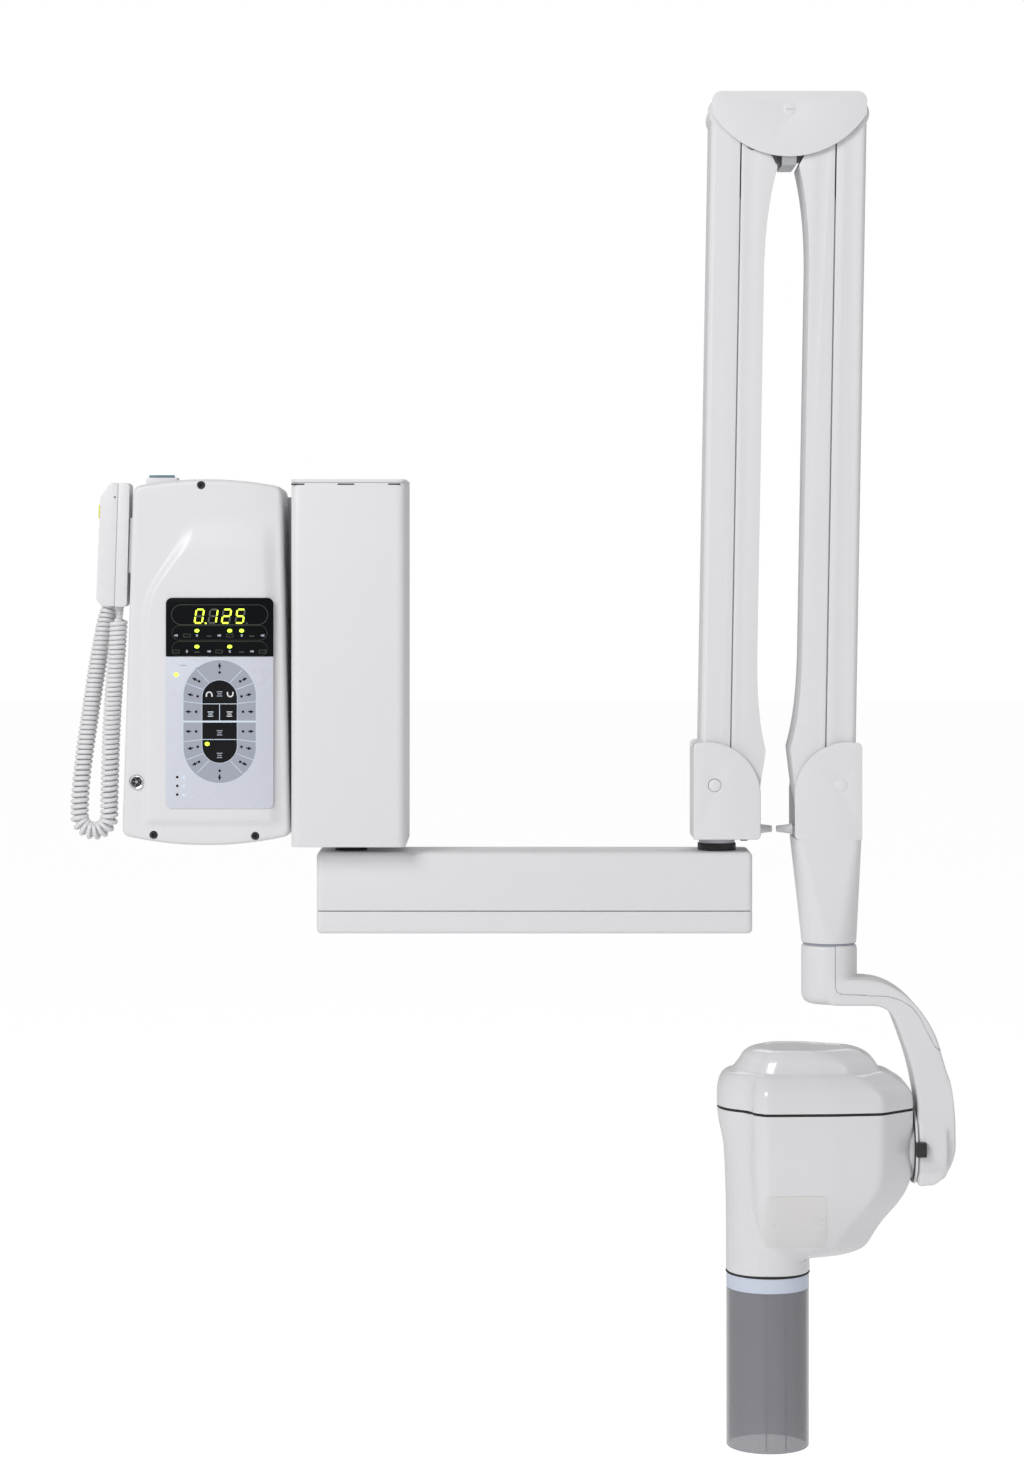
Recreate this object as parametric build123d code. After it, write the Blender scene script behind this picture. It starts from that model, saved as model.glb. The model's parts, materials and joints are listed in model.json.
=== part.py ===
from build123d import *
import os
from math import cos, radians, sin

# Intraoral x-ray unit. Frame: the wall is the plane Y = 0 and the unit stands out along -Y.
# X = 0 is the centre of the tower and Z = 0 is its mid height.

os.makedirs("parts", exist_ok=True)

# ---------------------------------------------------------------- driving dimensions (mm)
ARM_Y = -72.0            # centre plane of the arms, the knuckles and the tubehead
FIT = 0.05               # radial clearance of a running pin or spindle
GAP = 0.3                # gap between two neighbouring covers

PLATE_T = 4.0            # wall plate
BOLT_X, BOLT_Z = 64.0, 240.0
BOLT_R = 4.5

TOWER_HALF_W = 51.3
TOWER_TOP, TOWER_BOTTOM = 164.0, -165.0
TOWER_FRONT = -128.0
COVER_T = 3.0
TUBE_R = 20.0            # bearing tube of the tower and of the extension arm
BUSH_R = 15.0            # outer radius of the bushes
SPINDLE_R = 11.0

BOX_FRONT = -88.0        # front face of the control box
BOX_SPLIT = -46.0
PANEL_FRONT = -92.0      # front of the raised panel
WALL_LEAN = 1.82         # lean of the left side of the control box, degrees

ARM_TOP, ARM_BOTTOM = -171.5, -244.8
ARM_SEAM = -224.0
ARM_LEFT, ARM_RIGHT = -29.7, 362.9
ARM_HALF_D = 33.0
SCISSOR_X = 332.5        # vertical swivel axis of the scissor arm

LINK = 605.3             # pivot to pivot length of a scissor link
LEAN = 1.0               # lean of the folded links, degrees
P1 = (328.7, -111.0)     # base pivot of the lower link, (X, Z)
P4 = (442.5, -111.0)     # end pivot of the upper link
BAR_DU, BAR_DV = 24.8, -26.5   # second bar of the parallelogram from the first one
OUTER_HALF_W = 13.4      # half width of the outer bar
INNER_LEFT, INNER_RIGHT = -10.1, 11.6  # sides of the inner bar about its own pivot line
LINK_HALF_D = 30.0
SKIN = 2.5               # wall of the links
PIN_R = 5.5
BOSS_R = 10.3            # round bosses of the castings about the main pins
CORE_HALF_D = 23.5       # half depth of the castings inside the links
COVER_IN, COVER_OUT = 31.0, 35.0   # cover plates of the knuckles and the elbow
PLATE_OUTER, PLATE_INNER = 19.0, 41.5   # reach of the knuckle plates to each side of the first pivot

KNUCKLE_BOTTOM = -160.0
PEG_X, PEG_Z = 384.6, -152.6   # the two bumper pegs meet here
YOKE_X = 434.5           # vertical swivel axis of the yoke
YOKE_TOP = -257.0
YOKE_R = 25.2
YOKE_HALF_D = 26.0
TILT_Z = -440.0          # horizontal tilt axis of the tubehead
HEAD_FACE = 509.1        # side face of the tubehead at the tilt axis
HUB_R = 34.0
HUB_FACE = 512.7         # inner face of the yoke's hub
HUB_END = 539.0
STUB_LOW = -311.0        # underside of the yoke's upper end
AXLE_R = 9.0

HEAD_SEAM = -405.0       # joint between the casing and the top cover of the tubehead
GASKET_T = 2.5
HEAD_SKIN = 4.0
CONE_X = 378.8
CONE_R = 37.5
BEAM_R = 31.0            # clear bore of the neck for the beam
NECK_BOTTOM = -553.0
RING_BOTTOM = -568.5
CONE_BOTTOM = -712.5


# ---------------------------------------------------------------- small helpers
def block(x0, x1, y0, y1, z0, z1):
    size = Box(x1 - x0, y1 - y0, z1 - z0)
    return Pos((x0 + x1) / 2, (y0 + y1) / 2, (z0 + z1) / 2) * size


def rod_x(y, z, radius, x0, x1):
    return Pos((x0 + x1) / 2, y, z) * Rot(0, 90, 0) * Cylinder(radius, x1 - x0)


def rod_y(x, z, radius, y0, y1):
    return Pos(x, (y0 + y1) / 2, z) * Rot(90, 0, 0) * Cylinder(radius, y1 - y0)


def rod_z(x, y, radius, z0, z1):
    return Pos(x, y, (z0 + z1) / 2) * Cylinder(radius, z1 - z0)


def ring_z(x, y, radius, bore, z0, z1):
    return rod_z(x, y, radius, z0, z1) - rod_z(x, y, bore, z0 - 1, z1 + 1)


def slab(face, y0, y1):
    """Extrude a face drawn in (X, Z) between two depths."""
    return extrude(Plane.XZ.offset(-y1) * face, y1 - y0)


def outline(*points):
    return make_face(Polyline(*points, close=True))


def leaned(pivot, u, v):
    """A point given along (u) and up (v) the leaning links, from a pivot."""
    a = radians(LEAN)
    return (pivot[0] + u * cos(a) + v * sin(a), pivot[1] - u * sin(a) + v * cos(a))


P2 = leaned(P1, 0, LINK)
P3 = leaned(P4, 0, LINK)
Q1 = leaned(P1, BAR_DU, BAR_DV)
Q2 = leaned(P2, BAR_DU, BAR_DV)
Q3 = leaned(P3, -BAR_DU, BAR_DV)
Q4 = leaned(P4, -BAR_DU, BAR_DV)
ELBOW_X = (P2[0] + P3[0]) / 2


def at_pivot(pivot):
    return Pos(pivot[0], ARM_Y, pivot[1]) * Rot(0, LEAN, 0)


def in_arm_plane(shape):
    return Pos(0, ARM_Y, 0) * shape


# ---------------------------------------------------------------- tower
def wall_plate():
    plate = block(-188, 45, -PLATE_T, 0, -150, 150)
    for sx in (-1, 1):
        for sz in (-1, 1):
            plate -= rod_y(sx * BOLT_X / 2, sz * BOLT_Z / 2, BOLT_R, -PLATE_T - 1, 1)
    cable_hole = rod_y(-120, 0, 20, -PLATE_T - 1, 1)
    return plate - cable_hole


def tower_frame():
    web = block(-40, 40, -PLATE_T - 3, -PLATE_T, -150, 150)
    for sx in (-1, 1):
        for sz in (-1, 1):
            web -= rod_y(sx * BOLT_X / 2, sz * BOLT_Z / 2, 11, -20, 1)
    sides = block(-40, -37, -100, -PLATE_T, -150, 150) + block(37, 40, -100, -PLATE_T, -150, 150)
    shelves = block(-37, 37, -100, -PLATE_T - 3, -150, -142) + block(-37, 37, -100, -PLATE_T - 3, -34, -26)
    frame = web + sides + shelves + rod_z(0, ARM_Y, TUBE_R, -160, -20)
    return frame - rod_z(0, ARM_Y, BUSH_R, -170, -10)


def bush_pair(x, ends, length):
    bushes = [ring_z(x, ARM_Y, BUSH_R, SPINDLE_R + FIT, z, z + length) for z in ends]
    return Compound(children=[Solid(b.solid().wrapped) for b in bushes])


def tower_cover():
    back = -PLATE_T - 0.2
    shell = block(-TOWER_HALF_W, TOWER_HALF_W, TOWER_FRONT, back, TOWER_BOTTOM, TOWER_TOP - 3)
    front_edges = shell.edges().filter_by(Axis.Z).group_by(Axis.Y)[0]
    shell = fillet(front_edges, 8)
    t = COVER_T
    hollow = block(-TOWER_HALF_W + t, TOWER_HALF_W - t, TOWER_FRONT + t, 5, TOWER_BOTTOM + t, TOWER_TOP + 5)
    return shell - hollow - rod_z(0, ARM_Y, 15.5, TOWER_BOTTOM - 1, TOWER_BOTTOM + t + 1)


def tower_top_cap():
    cap = block(-TOWER_HALF_W, TOWER_HALF_W, TOWER_FRONT, -PLATE_T - 0.2, TOWER_TOP - 2.8, TOWER_TOP)
    cap = fillet(cap.edges().filter_by(Axis.Z).group_by(Axis.Y)[0], 8)
    inner = TOWER_HALF_W - COVER_T - 0.2
    lip = block(-inner, inner, TOWER_FRONT + COVER_T + 0.2, -12, TOWER_TOP - 8, TOWER_TOP - 2.8)
    lip -= block(-inner + 3, inner - 3, TOWER_FRONT + 8, -15, TOWER_TOP - 9, TOWER_TOP - 2.8)
    cap += lip
    for x, half in ((-44, 5), (0, 9), (43, 6)):
        cap -= block(x - half, x + half, TOWER_FRONT + 6, TOWER_FRONT + 9, TOWER_TOP - 12, TOWER_TOP + 1)
    return cap


def terminal_block():
    body = block(-28, 28, -32, -PLATE_T - 3, 60, 84)
    for i in range(6):
        body -= rod_y(-22.5 + 9 * i, 72, 2.6, -33, -26)
    return body


# ---------------------------------------------------------------- control box
def box_outline():
    top_left, top_right = (-197, 158), (-62, 157)
    low_right, low_left = (-54.5, -160.5), (-207, -158.5)
    edges = [
        ThreePointArc(top_left, (-130, 165), top_right),
        Line(top_right, low_right),
        ThreePointArc(low_right, (-130, -166.6), low_left),
        Line(low_left, top_left),
    ]
    face = make_face(edges)
    return fillet(face.vertices(), 9)


def panel_outline():
    edges = [
        Line((-62, -148), (-182, -148)),
        Line((-182, -148), (-182, 36)),
        Spline((-182, 36), (-172, 84), (-150, 119), tangents=((0, 1), (0.9, 0.45))),
        Spline((-150, 119), (-112, 130), (-80, 122), (-66, 92), tangents=((0.9, 0.45), (0.1, -1))),
        Line((-66, 92), (-62, -148)),
    ]
    return make_face(edges)


def control_rear_housing():
    back = -PLATE_T - 0.2
    body = slab(box_outline(), BOX_SPLIT, back)
    return body - slab(offset(box_outline(), -COVER_T), BOX_SPLIT - 1, back - COVER_T)


SCREWS = ((-135, 157), (-178, -154.5), (-86, -155.5))
SOCKET = (-193.5, -109)
SWITCH = (-186, -158, -77, -53)   # X and Y extent of the power switch


def control_front_cover():
    body = slab(box_outline(), BOX_FRONT, BOX_SPLIT - GAP)
    body = fillet(body.faces().sort_by(Axis.Y)[0].edges(), 5)
    body += slab(panel_outline(), PANEL_FRONT, BOX_FRONT + 1)
    hollow = slab(offset(box_outline(), -COVER_T - 1), BOX_FRONT + COVER_T, BOX_SPLIT)
    body -= hollow
    body -= block(-149, -85, -95, -80, 18, 46)
    for x, z in SCREWS:
        body -= rod_y(x, z, 3.5, BOX_FRONT - 1, BOX_FRONT + 5)
    body -= rod_y(SOCKET[0], SOCKET[1], 5.3, BOX_FRONT - 1, BOX_FRONT + 5)
    x0, x1, y0, y1 = SWITCH
    return body - block(x0 - 0.1, x1 + 0.1, y0 - 0.1, y1 + 0.1, 140, 170)


def keypad_overlay():
    return block(-166.5, -69.3, PANEL_FRONT - 1, PANEL_FRONT, -133, 4.4)


def display_window():
    return block(-166.5, -69.3, PANEL_FRONT - 1.2, PANEL_FRONT, 4.6, 57.6)


def display_module():
    return block(-148, -86, PANEL_FRONT + 0.2, -76, 19, 45)


def control_board():
    return block(-172, -68, -76, -74.4, -120, 60)


def cover_screws():
    screws = []
    for x, z in SCREWS:
        screw = rod_y(x, z, 3.2, BOX_FRONT + 1, BOX_FRONT + 12)
        screw -= block(x - 2, x + 2, BOX_FRONT, BOX_FRONT + 1.8, z - 0.5, z + 0.5)
        screws.append(Solid(screw.solid().wrapped))
    return Compound(children=screws)


def remote_socket():
    x, z = SOCKET
    body = rod_y(x, z, 5.2, BOX_FRONT - 0.2, BOX_FRONT + 12)
    body += rod_y(x, z, 6.6, BOX_FRONT - 2.2, BOX_FRONT - 0.2)
    return body - rod_y(x, z, 3.0, BOX_FRONT - 3, BOX_FRONT + 9)


SWITCH_AXIS = (-65.0, 163.0)      # Y and Z of the rocker pivot


def power_switch_bezel():
    x0, x1, y0, y1 = SWITCH
    body = block(x0, x1, y0, y1, 150, 166.5)
    body -= block(x0 + 2, x1 - 2, y0 + 2.5, y1 - 2.5, 153, 168)
    return body - rod_x(*SWITCH_AXIS, 1.3, x0 - 1, x1 + 1)


def power_rocker():
    x0, x1 = SWITCH[:2]
    profile = outline((-8, -4.5), (8, -4.5), (8, 2), (0, 3.4), (-8, 6))
    local = extrude(Plane.YZ.offset(x0 + 2.4) * profile, x1 - x0 - 4.8)
    body = Pos(0, *SWITCH_AXIS) * local
    return body + rod_x(*SWITCH_AXIS, 1.25, x0 + 0.4, x1 - 0.4)


# ---------------------------------------------------------------- exposure handset
CORD_R = 7.3             # outer radius of the coil
HANDSET = Pos(-198.75, -62, 105) * Rot(0, WALL_LEAN, 0)   # on the left side of the control box


def handset_cradle():
    plate = block(-3, -0.1, -12, 12, -25, 25)
    return HANDSET * (plate + rod_x(0, 10, 4, -9, -3))


def handset_outline():
    points = [(-31, -50), (-30, 43), (-21, 56), (-4, 57), (-3.2, -56), (-26, -56)]
    return fillet(outline(*points).vertices(), 4)


def handset_front_shell():
    body = slab(handset_outline(), -16, 16) & block(-60, -14.2, -20, 20, -80, 80)
    hollow = slab(offset(handset_outline(), -2.5), -13.5, 13.5)
    return HANDSET * (body - hollow - block(-40, -20, -5.2, 5.2, 23.8, 36.2))


def handset_back_shell():
    body = slab(handset_outline(), -16, 16) & block(-14, 0, -20, 20, -80, 80)
    body -= block(-16, -10, -13.5, 13.5, -52, 50)
    return HANDSET * (body - rod_x(0, 10, 4.4, -10.5, 0))


def exposure_button():
    return HANDSET * (block(-32.6, -24, -5, 5, 24, 36) + block(-26.6, -25.2, -7, 7, 22.5, 37.5))


def cord_strain_relief():
    sleeve = Pos(-11, 0, -63) * Cone(2.4, 4.4, 14)
    return HANDSET * sleeve


def cord_path():
    """From the handset down, round a tight loop, up behind the handset and into the box."""
    loop_z, loop_y = -146.6, -50
    down = Spline(
        (-212.6, -62, 33), (-217.5, -60, -20), (-221.5, -57, -66), (-224.5, -53, -112),
        (-225.6, loop_y, loop_z),
        tangents=((0, 0, -1), (0, 0, -1)),
    )
    turn = ThreePointArc((-225.6, loop_y, loop_z), (-236.5, loop_y, loop_z - 10.9), (-247.4, loop_y, loop_z))
    up = Spline(
        (-247.4, loop_y, loop_z), (-243.5, -48, -93), (-235.4, -45, -39), (-228.5, -41, 8), (-221, -34, 46),
        (-203.6, -28, 66),
        tangents=((0, 0, 1), (1, 0.1, 0.15)),
    )
    return down + turn + up


def coiled_cord():
    path = cord_path()
    ring = Plane(path @ 0, z_dir=path % 0) * Circle(CORD_R)
    return sweep(ring, path=path)


# ---------------------------------------------------------------- extension arm
BEAM_SPAN = (ARM_BOTTOM + 5, ARM_TOP - 5.5)   # underside and top of the steel beam


def extension_beam():
    left, right, wall = ARM_LEFT + 6.5, ARM_RIGHT - 5, 3.5
    low, top = BEAM_SPAN
    beam = block(left, right, -28, 28, low, top)
    beam -= block(left - 1, right + 1, -28 + wall, 28 - wall, low + wall, top - wall)
    beam += rod_z(0, 0, SPINDLE_R + 8, low, top) + rod_z(0, 0, SPINDLE_R, -200, -22)
    beam += rod_z(SCISSOR_X, 0, TUBE_R, low, top)
    return in_arm_plane(beam - rod_z(SCISSOR_X, 0, BUSH_R, low - 2, top + 2))


def arm_shell(z0, z1, open_at_top):
    shell = block(ARM_LEFT, ARM_RIGHT, -ARM_HALF_D, ARM_HALF_D, z0, z1)
    shell = fillet(shell.edges().filter_by(Axis.Z), 5)
    end_face = shell.faces().sort_by(Axis.Z)[0 if open_at_top else -1]
    shell = fillet(end_face.edges(), 4)
    floor, ceiling = (z0 + COVER_T, z1 + 1) if open_at_top else (z0 - 1, z1 - COVER_T)
    half = ARM_HALF_D - 5
    return shell - block(ARM_LEFT + 3.5, ARM_RIGHT - 3.5, -half, half, floor, ceiling)


def extension_upper_cover():
    shell = arm_shell(ARM_SEAM, ARM_TOP, False)
    shell -= rod_z(0, 0, SPINDLE_R + 0.3, ARM_TOP - 9, ARM_TOP + 9)
    return in_arm_plane(shell - rod_z(SCISSOR_X, 0, SPINDLE_R + 0.3, ARM_TOP - 9, ARM_TOP + 9))


def extension_lower_cover():
    return in_arm_plane(arm_shell(ARM_BOTTOM, ARM_SEAM - 0.8, True))


def swing_washer():
    return ring_z(0, ARM_Y, 14.5, SPINDLE_R + FIT, ARM_TOP, -161)


def swivel_washer():
    return ring_z(SCISSOR_X, ARM_Y, 17.4, SPINDLE_R + FIT, ARM_TOP + 0.1, -165.2)


# ---------------------------------------------------------------- scissor links
def outer_link():
    """Channel that carries the load; pivots at (0, 0) and (0, LINK), open towards +X."""
    d = LINK_HALF_D
    body = block(-OUTER_HALF_W, OUTER_HALF_W, -d, d, 0, LINK)
    body = fillet(body.edges().filter_by(Axis.Z).group_by(Axis.X)[0], 5)
    body += rod_y(0, 0, OUTER_HALF_W, -d, d) + rod_y(0, LINK, OUTER_HALF_W + 1.8, -d, d)
    body -= block(-OUTER_HALF_W + SKIN, 40, -d + SKIN, d - SKIN, 0, LINK)
    body -= block(-40, 40, -d + SKIN, d - SKIN, -40, 0)
    body -= block(-40, 40, -d + SKIN, d - SKIN, LINK, LINK + 40)
    for v in (0, LINK):
        body -= rod_y(0, v, PIN_R + FIT, -d - 1, d + 1)
    return body


def inner_link_outline():
    edges = [
        Line((INNER_LEFT, 0), (INNER_RIGHT, 0)),
        Line((INNER_RIGHT, 0), (16.7, 27)),
        Line((16.7, 27), (21, 58)),
        Spline((21, 58), (15.8, 83), (12.4, 120), (11.8, 160)),
        Line((11.8, 160), (11.8, LINK - 131)),
        Spline((11.8, LINK - 131), (12.4, LINK - 91), (15.7, LINK - 55), (22.4, LINK - 21)),
        Line((22.4, LINK - 21), (INNER_RIGHT, LINK)),
        Line((INNER_RIGHT, LINK), (INNER_LEFT, LINK)),
        Line((INNER_LEFT, LINK), (INNER_LEFT, 0)),
    ]
    return make_face(edges)


def inner_link(joint_bore, open_bore):
    """Second bar, its pivots at (0, 0) and (0, LINK); its lips run inside the outer link."""
    d = LINK_HALF_D
    body = slab(inner_link_outline(), -d, d)
    body -= Pos(-SKIN, 0, 0) * slab(inner_link_outline(), -d + SKIN, d - SKIN)
    body -= block(-40, -3, -d + SKIN, d - SKIN, -1, LINK + 1)
    for v in (0, LINK):
        disc = rod_y(0, v, 11, -d, d) - rod_y(0, v, 12, -d + SKIN, d - SKIN)
        body += disc & block(INNER_LEFT, 40, -40, 40, v - 12, v + 12)
    for side in (-1, 1):
        lip = block(-22.9, INNER_LEFT + 5, 24.5, 27, 50, LINK - 50)
        step = block(INNER_LEFT, INNER_LEFT + 5, 27, d - SKIN, 50, LINK - 50)
        body += (lip + step) if side > 0 else mirror(lip + step, Plane.XZ)
    body -= rod_y(0, 0, joint_bore, -d - 1, d + 1)
    return body - rod_y(0, LINK, open_bore, -d - 1, d + 1)


def balance_spring():
    coil = rod_z(0, 0, 9, 120, 440) - rod_z(0, 0, 6.5, 126, 434)
    hook = block(-OUTER_HALF_W + SKIN, 4, -3, 3, 108, 121) + block(-OUTER_HALF_W + SKIN, 4, -3, 3, 439, 452)
    return coil + hook


def lower_outer_link():
    return at_pivot(P1) * outer_link()


def lower_inner_link():
    return at_pivot(Q1) * inner_link(PIN_R + FIT, PIN_R + 0.6)


def lower_spring():
    return at_pivot(P1) * balance_spring()


def upper_outer_link():
    return at_pivot(P4) * mirror(outer_link(), Plane.YZ)


def upper_inner_link():
    return at_pivot(Q4) * mirror(inner_link(PIN_R + 0.6, PIN_R + FIT), Plane.YZ)


def upper_spring():
    return at_pivot(P4) * mirror(balance_spring(), Plane.YZ)


# ---------------------------------------------------------------- knuckles, drawn for the base side
def knuckle_core(qx, qz):
    """Casting between the links; first pivot at the origin of (X, Z), second one at (qx, qz)."""
    low = KNUCKLE_BOTTOM - P1[1]
    d = CORE_HALF_D
    left, right = 3.1 - PLATE_OUTER, PLATE_INNER - 2
    side = outline((left, low), (right, low), (right, low + 9), (qx, low + 9), (qx, -11), (left, -11))
    body = slab(side, -d, d)
    body += block(left, right, -COVER_IN, COVER_IN, low, low + 9)
    body += rod_y(0, 0, BOSS_R, -d, d) + block(-9, 9, -d, d, -14, 0)
    body += rod_y(qx, qz, 7.5, -d, d)
    body -= rod_y(0, 0, PIN_R, -40, 40)
    return body - rod_y(qx, qz, PIN_R, -40, 40)


def knuckle_plate():
    """Outline of the cover plate about the first pivot: flat below, arc towards the link."""
    left, right, low = -PLATE_OUTER, PLATE_INNER, KNUCKLE_BOTTOM - P1[1]
    edges = [
        Line((left, low), (left, 34)),
        ThreePointArc((left, 34), (left + 1.5, 37.2), (left + 4.8, 38.2)),
        ThreePointArc((left + 4.8, 38.2), (27.9, 24.2), (right, -6.6)),
        Line((right, -6.6), (right, low + 4)),
        ThreePointArc((right, low + 4), (right - 1.2, low + 1.2), (right - 4, low)),
        Line((right - 4, low), (left, low)),
    ]
    return make_face(edges)


def pin_pair(first, second):
    main = rod_y(first[0], first[1], PIN_R, -COVER_OUT - 0.3, COVER_OUT + 0.3)
    tie = rod_y(second[0], second[1], PIN_R, -LINK_HALF_D - 0.4, LINK_HALF_D + 0.4)
    return Compound(children=[Solid(in_arm_plane(p).solid().wrapped) for p in (main, tie)])


def base_knuckle_casting():
    body = Pos(P1[0], 0, P1[1]) * knuckle_core(Q1[0] - P1[0], Q1[1] - P1[1])
    body += rod_z(SCISSOR_X, 0, 16.4, -165.2, KNUCKLE_BOTTOM)
    body += rod_z(SCISSOR_X, 0, SPINDLE_R, -234, KNUCKLE_BOTTOM)
    return in_arm_plane(body)


def base_cover_half(side):
    plate = slab(knuckle_plate(), COVER_IN, COVER_OUT) - rod_y(0, 0, PIN_R + 0.2, 20, 40)
    wall = block(-PLATE_OUTER, 2.5 - PLATE_OUTER, 0.1, COVER_IN, KNUCKLE_BOTTOM - P1[1], 32)
    half = Pos(P1[0], 0, P1[1]) * (plate + wall)
    return half if side > 0 else mirror(half, Plane.XZ)


def base_knuckle_covers():
    halves = [in_arm_plane(base_cover_half(side)) for side in (-1, 1)]
    return Compound(children=[Solid(h.solid().wrapped) for h in halves])


def base_pivot_pins():
    return pin_pair(P1, Q1)


def brake_screw():
    return rod_z(SCISSOR_X + 24.8, ARM_Y, 3.6, -163.4, KNUCKLE_BOTTOM)


def bumper_peg(x0, x1, r0, r1):
    return Pos((x0 + x1) / 2, ARM_Y, PEG_Z) * Rot(0, 90, 0) * Cone(r0, r1, x1 - x0)


def base_bumper():
    return bumper_peg(P1[0] + PLATE_INNER + 0.1, PEG_X - 1.7, 4.2, 2.9)


# ---------------------------------------------------------------- elbow
ELBOW_TOP = P2[1] + 19.6
ELBOW_LOW = P2[1] - 39.0
ELBOW_HALF_W = 69.7
CAP_Z = P2[1] + 3.1      # screw in the middle of each cover


def elbow_core():
    d = CORE_HALF_D
    top, low = P2[1] + 11.5, P2[1] - 11.5
    body = slab(outline((P2[0], low), (P3[0], low), (P3[0], top), (P2[0], top)), -d, d)
    body += block(ELBOW_X - 6.5, ELBOW_X + 6.5, -COVER_IN, COVER_IN, ELBOW_LOW - 7.4, ELBOW_TOP - 2.8)
    for p in (P2, P3):
        body += rod_y(p[0], p[1], BOSS_R, -d, d)
    for q in (Q2, Q3):
        body += rod_y(q[0], q[1], 7.5, -d, d) + block(q[0] - 7.5, q[0] + 7.5, -d, d, q[1], low + 2)
    for p in (P2, P3, Q2, Q3):
        body -= rod_y(p[0], p[1], PIN_R, -40, 40)
    return in_arm_plane(body)


def elbow_plate():
    w, side_low = ELBOW_HALF_W, P2[1] - 0.4
    edges = [
        ThreePointArc((-w, side_low), (0, ELBOW_LOW), (w, side_low)),
        Line((w, side_low), (w, ELBOW_TOP - 8)),
        ThreePointArc((w, ELBOW_TOP - 8), (w - 2.4, ELBOW_TOP - 2.4), (w - 8, ELBOW_TOP)),
        Line((w - 8, ELBOW_TOP), (-w + 8, ELBOW_TOP)),
        ThreePointArc((-w + 8, ELBOW_TOP), (-w + 2.4, ELBOW_TOP - 2.4), (-w, ELBOW_TOP - 8)),
        Line((-w, ELBOW_TOP - 8), (-w, side_low)),
    ]
    return Pos(ELBOW_X, 0) * make_face(edges)


def elbow_cover_half(side):
    plate = slab(elbow_plate(), COVER_IN, COVER_OUT) - rod_y(ELBOW_X, CAP_Z, 5.2, 20, 40)
    w = ELBOW_HALF_W - 8
    half = plate + block(ELBOW_X - w, ELBOW_X + w, 0.1, COVER_IN, ELBOW_TOP - 2.4, ELBOW_TOP)
    return half if side > 0 else mirror(half, Plane.XZ)


def elbow_covers():
    halves = [in_arm_plane(elbow_cover_half(side)) for side in (-1, 1)]
    return Compound(children=[Solid(h.solid().wrapped) for h in halves])


def elbow_pins():
    d = LINK_HALF_D + 0.4
    pins = [in_arm_plane(rod_y(p[0], p[1], PIN_R, -d, d)) for p in (P2, P3, Q2, Q3)]
    return Compound(children=[Solid(p.solid().wrapped) for p in pins])


def elbow_cap_screws():
    screws = []
    for side in (-1, 1):
        ends = sorted((side * COVER_IN, side * (COVER_OUT + 0.3)))
        screws.append(in_arm_plane(rod_y(ELBOW_X, CAP_Z, 5.0, *ends)))
    return Compound(children=[Solid(s.solid().wrapped) for s in screws])


# ---------------------------------------------------------------- end knuckle
END_BOTTOM = -255.0


def end_plate():
    return Pos(P4[0], P4[1]) * mirror(knuckle_plate(), Plane.YZ)


def taper(half_w, half_d, radius, x_mid):
    """Tapering sleeve from the plates down to the round collar."""
    top = Plane.XY.offset(KNUCKLE_BOTTOM) * Pos(x_mid, 0) * RectangleRounded(2 * half_w, 2 * half_d, 8)
    low = Pos(YOKE_X, 0) * RectangleRounded(2 * radius, 2 * radius, radius - 0.5)
    low = Plane.XY.offset(END_BOTTOM) * low
    return loft([top, low])


def end_cover_half(side):
    x0, x1 = P4[0] - PLATE_INNER, P4[0] + PLATE_OUTER
    shell = slab(end_plate(), COVER_IN, COVER_OUT) - rod_y(P4[0], P4[1], PIN_R + 0.2, 20, 40)
    shell += block(x1 - 2.5, x1, 0.1, COVER_IN, KNUCKLE_BOTTOM, P4[1] + 32)
    x_mid, half_w = (x0 + x1) / 2, (x1 - x0) / 2
    sleeve = taper(half_w, COVER_OUT, 24.8, x_mid) - taper(half_w - 3, COVER_IN, 21.8, x_mid)
    shell += sleeve & block(x0 - 5, x1 + 5, 0.1, 60, -300, KNUCKLE_BOTTOM)
    return shell if side > 0 else mirror(shell, Plane.XZ)


def end_knuckle_covers():
    halves = [in_arm_plane(end_cover_half(side)) for side in (-1, 1)]
    return Compound(children=[Solid(h.solid().wrapped) for h in halves])


def end_knuckle_casting():
    body = Pos(P4[0], 0, P4[1]) * mirror(knuckle_core(P4[0] - Q4[0], Q4[1] - P4[1]), Plane.YZ)
    body += rod_z(YOKE_X, 0, 17, END_BOTTOM + 12, KNUCKLE_BOTTOM)
    body += rod_z(YOKE_X, 0, SPINDLE_R, STUB_LOW + 7, KNUCKLE_BOTTOM)
    return in_arm_plane(body)


def end_pivot_pins():
    return pin_pair(P4, Q4)


def end_bumper():
    return bumper_peg(PEG_X + 1.7, P4[0] - PLATE_INNER - 0.1, 2.9, 4.2)


# ---------------------------------------------------------------- yoke
def yoke_outline():
    edges = [
        Line((YOKE_X, -287.5), (467, -287.5)),
        Spline((467, -287.5), (488, -291), (508, -304.5), (526.5, -332), (541.5, -377), (547, -430),
               tangents=((1, 0), (0, -1))),
        ThreePointArc((547, -430), (542, -457), (528, -473)),
        Line((528, -473), (HUB_FACE, -474)),
        Line((HUB_FACE, -474), (HUB_FACE, -402)),
        Spline((HUB_FACE, -402), (511.5, -390), (508, -372), (494.5, -330), (471, STUB_LOW),
               tangents=((0, 1), (-1, 0))),
        Line((471, STUB_LOW), (YOKE_X, STUB_LOW)),
        Line((YOKE_X, STUB_LOW), (YOKE_X, -287.5)),
    ]
    return make_face(edges)


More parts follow.
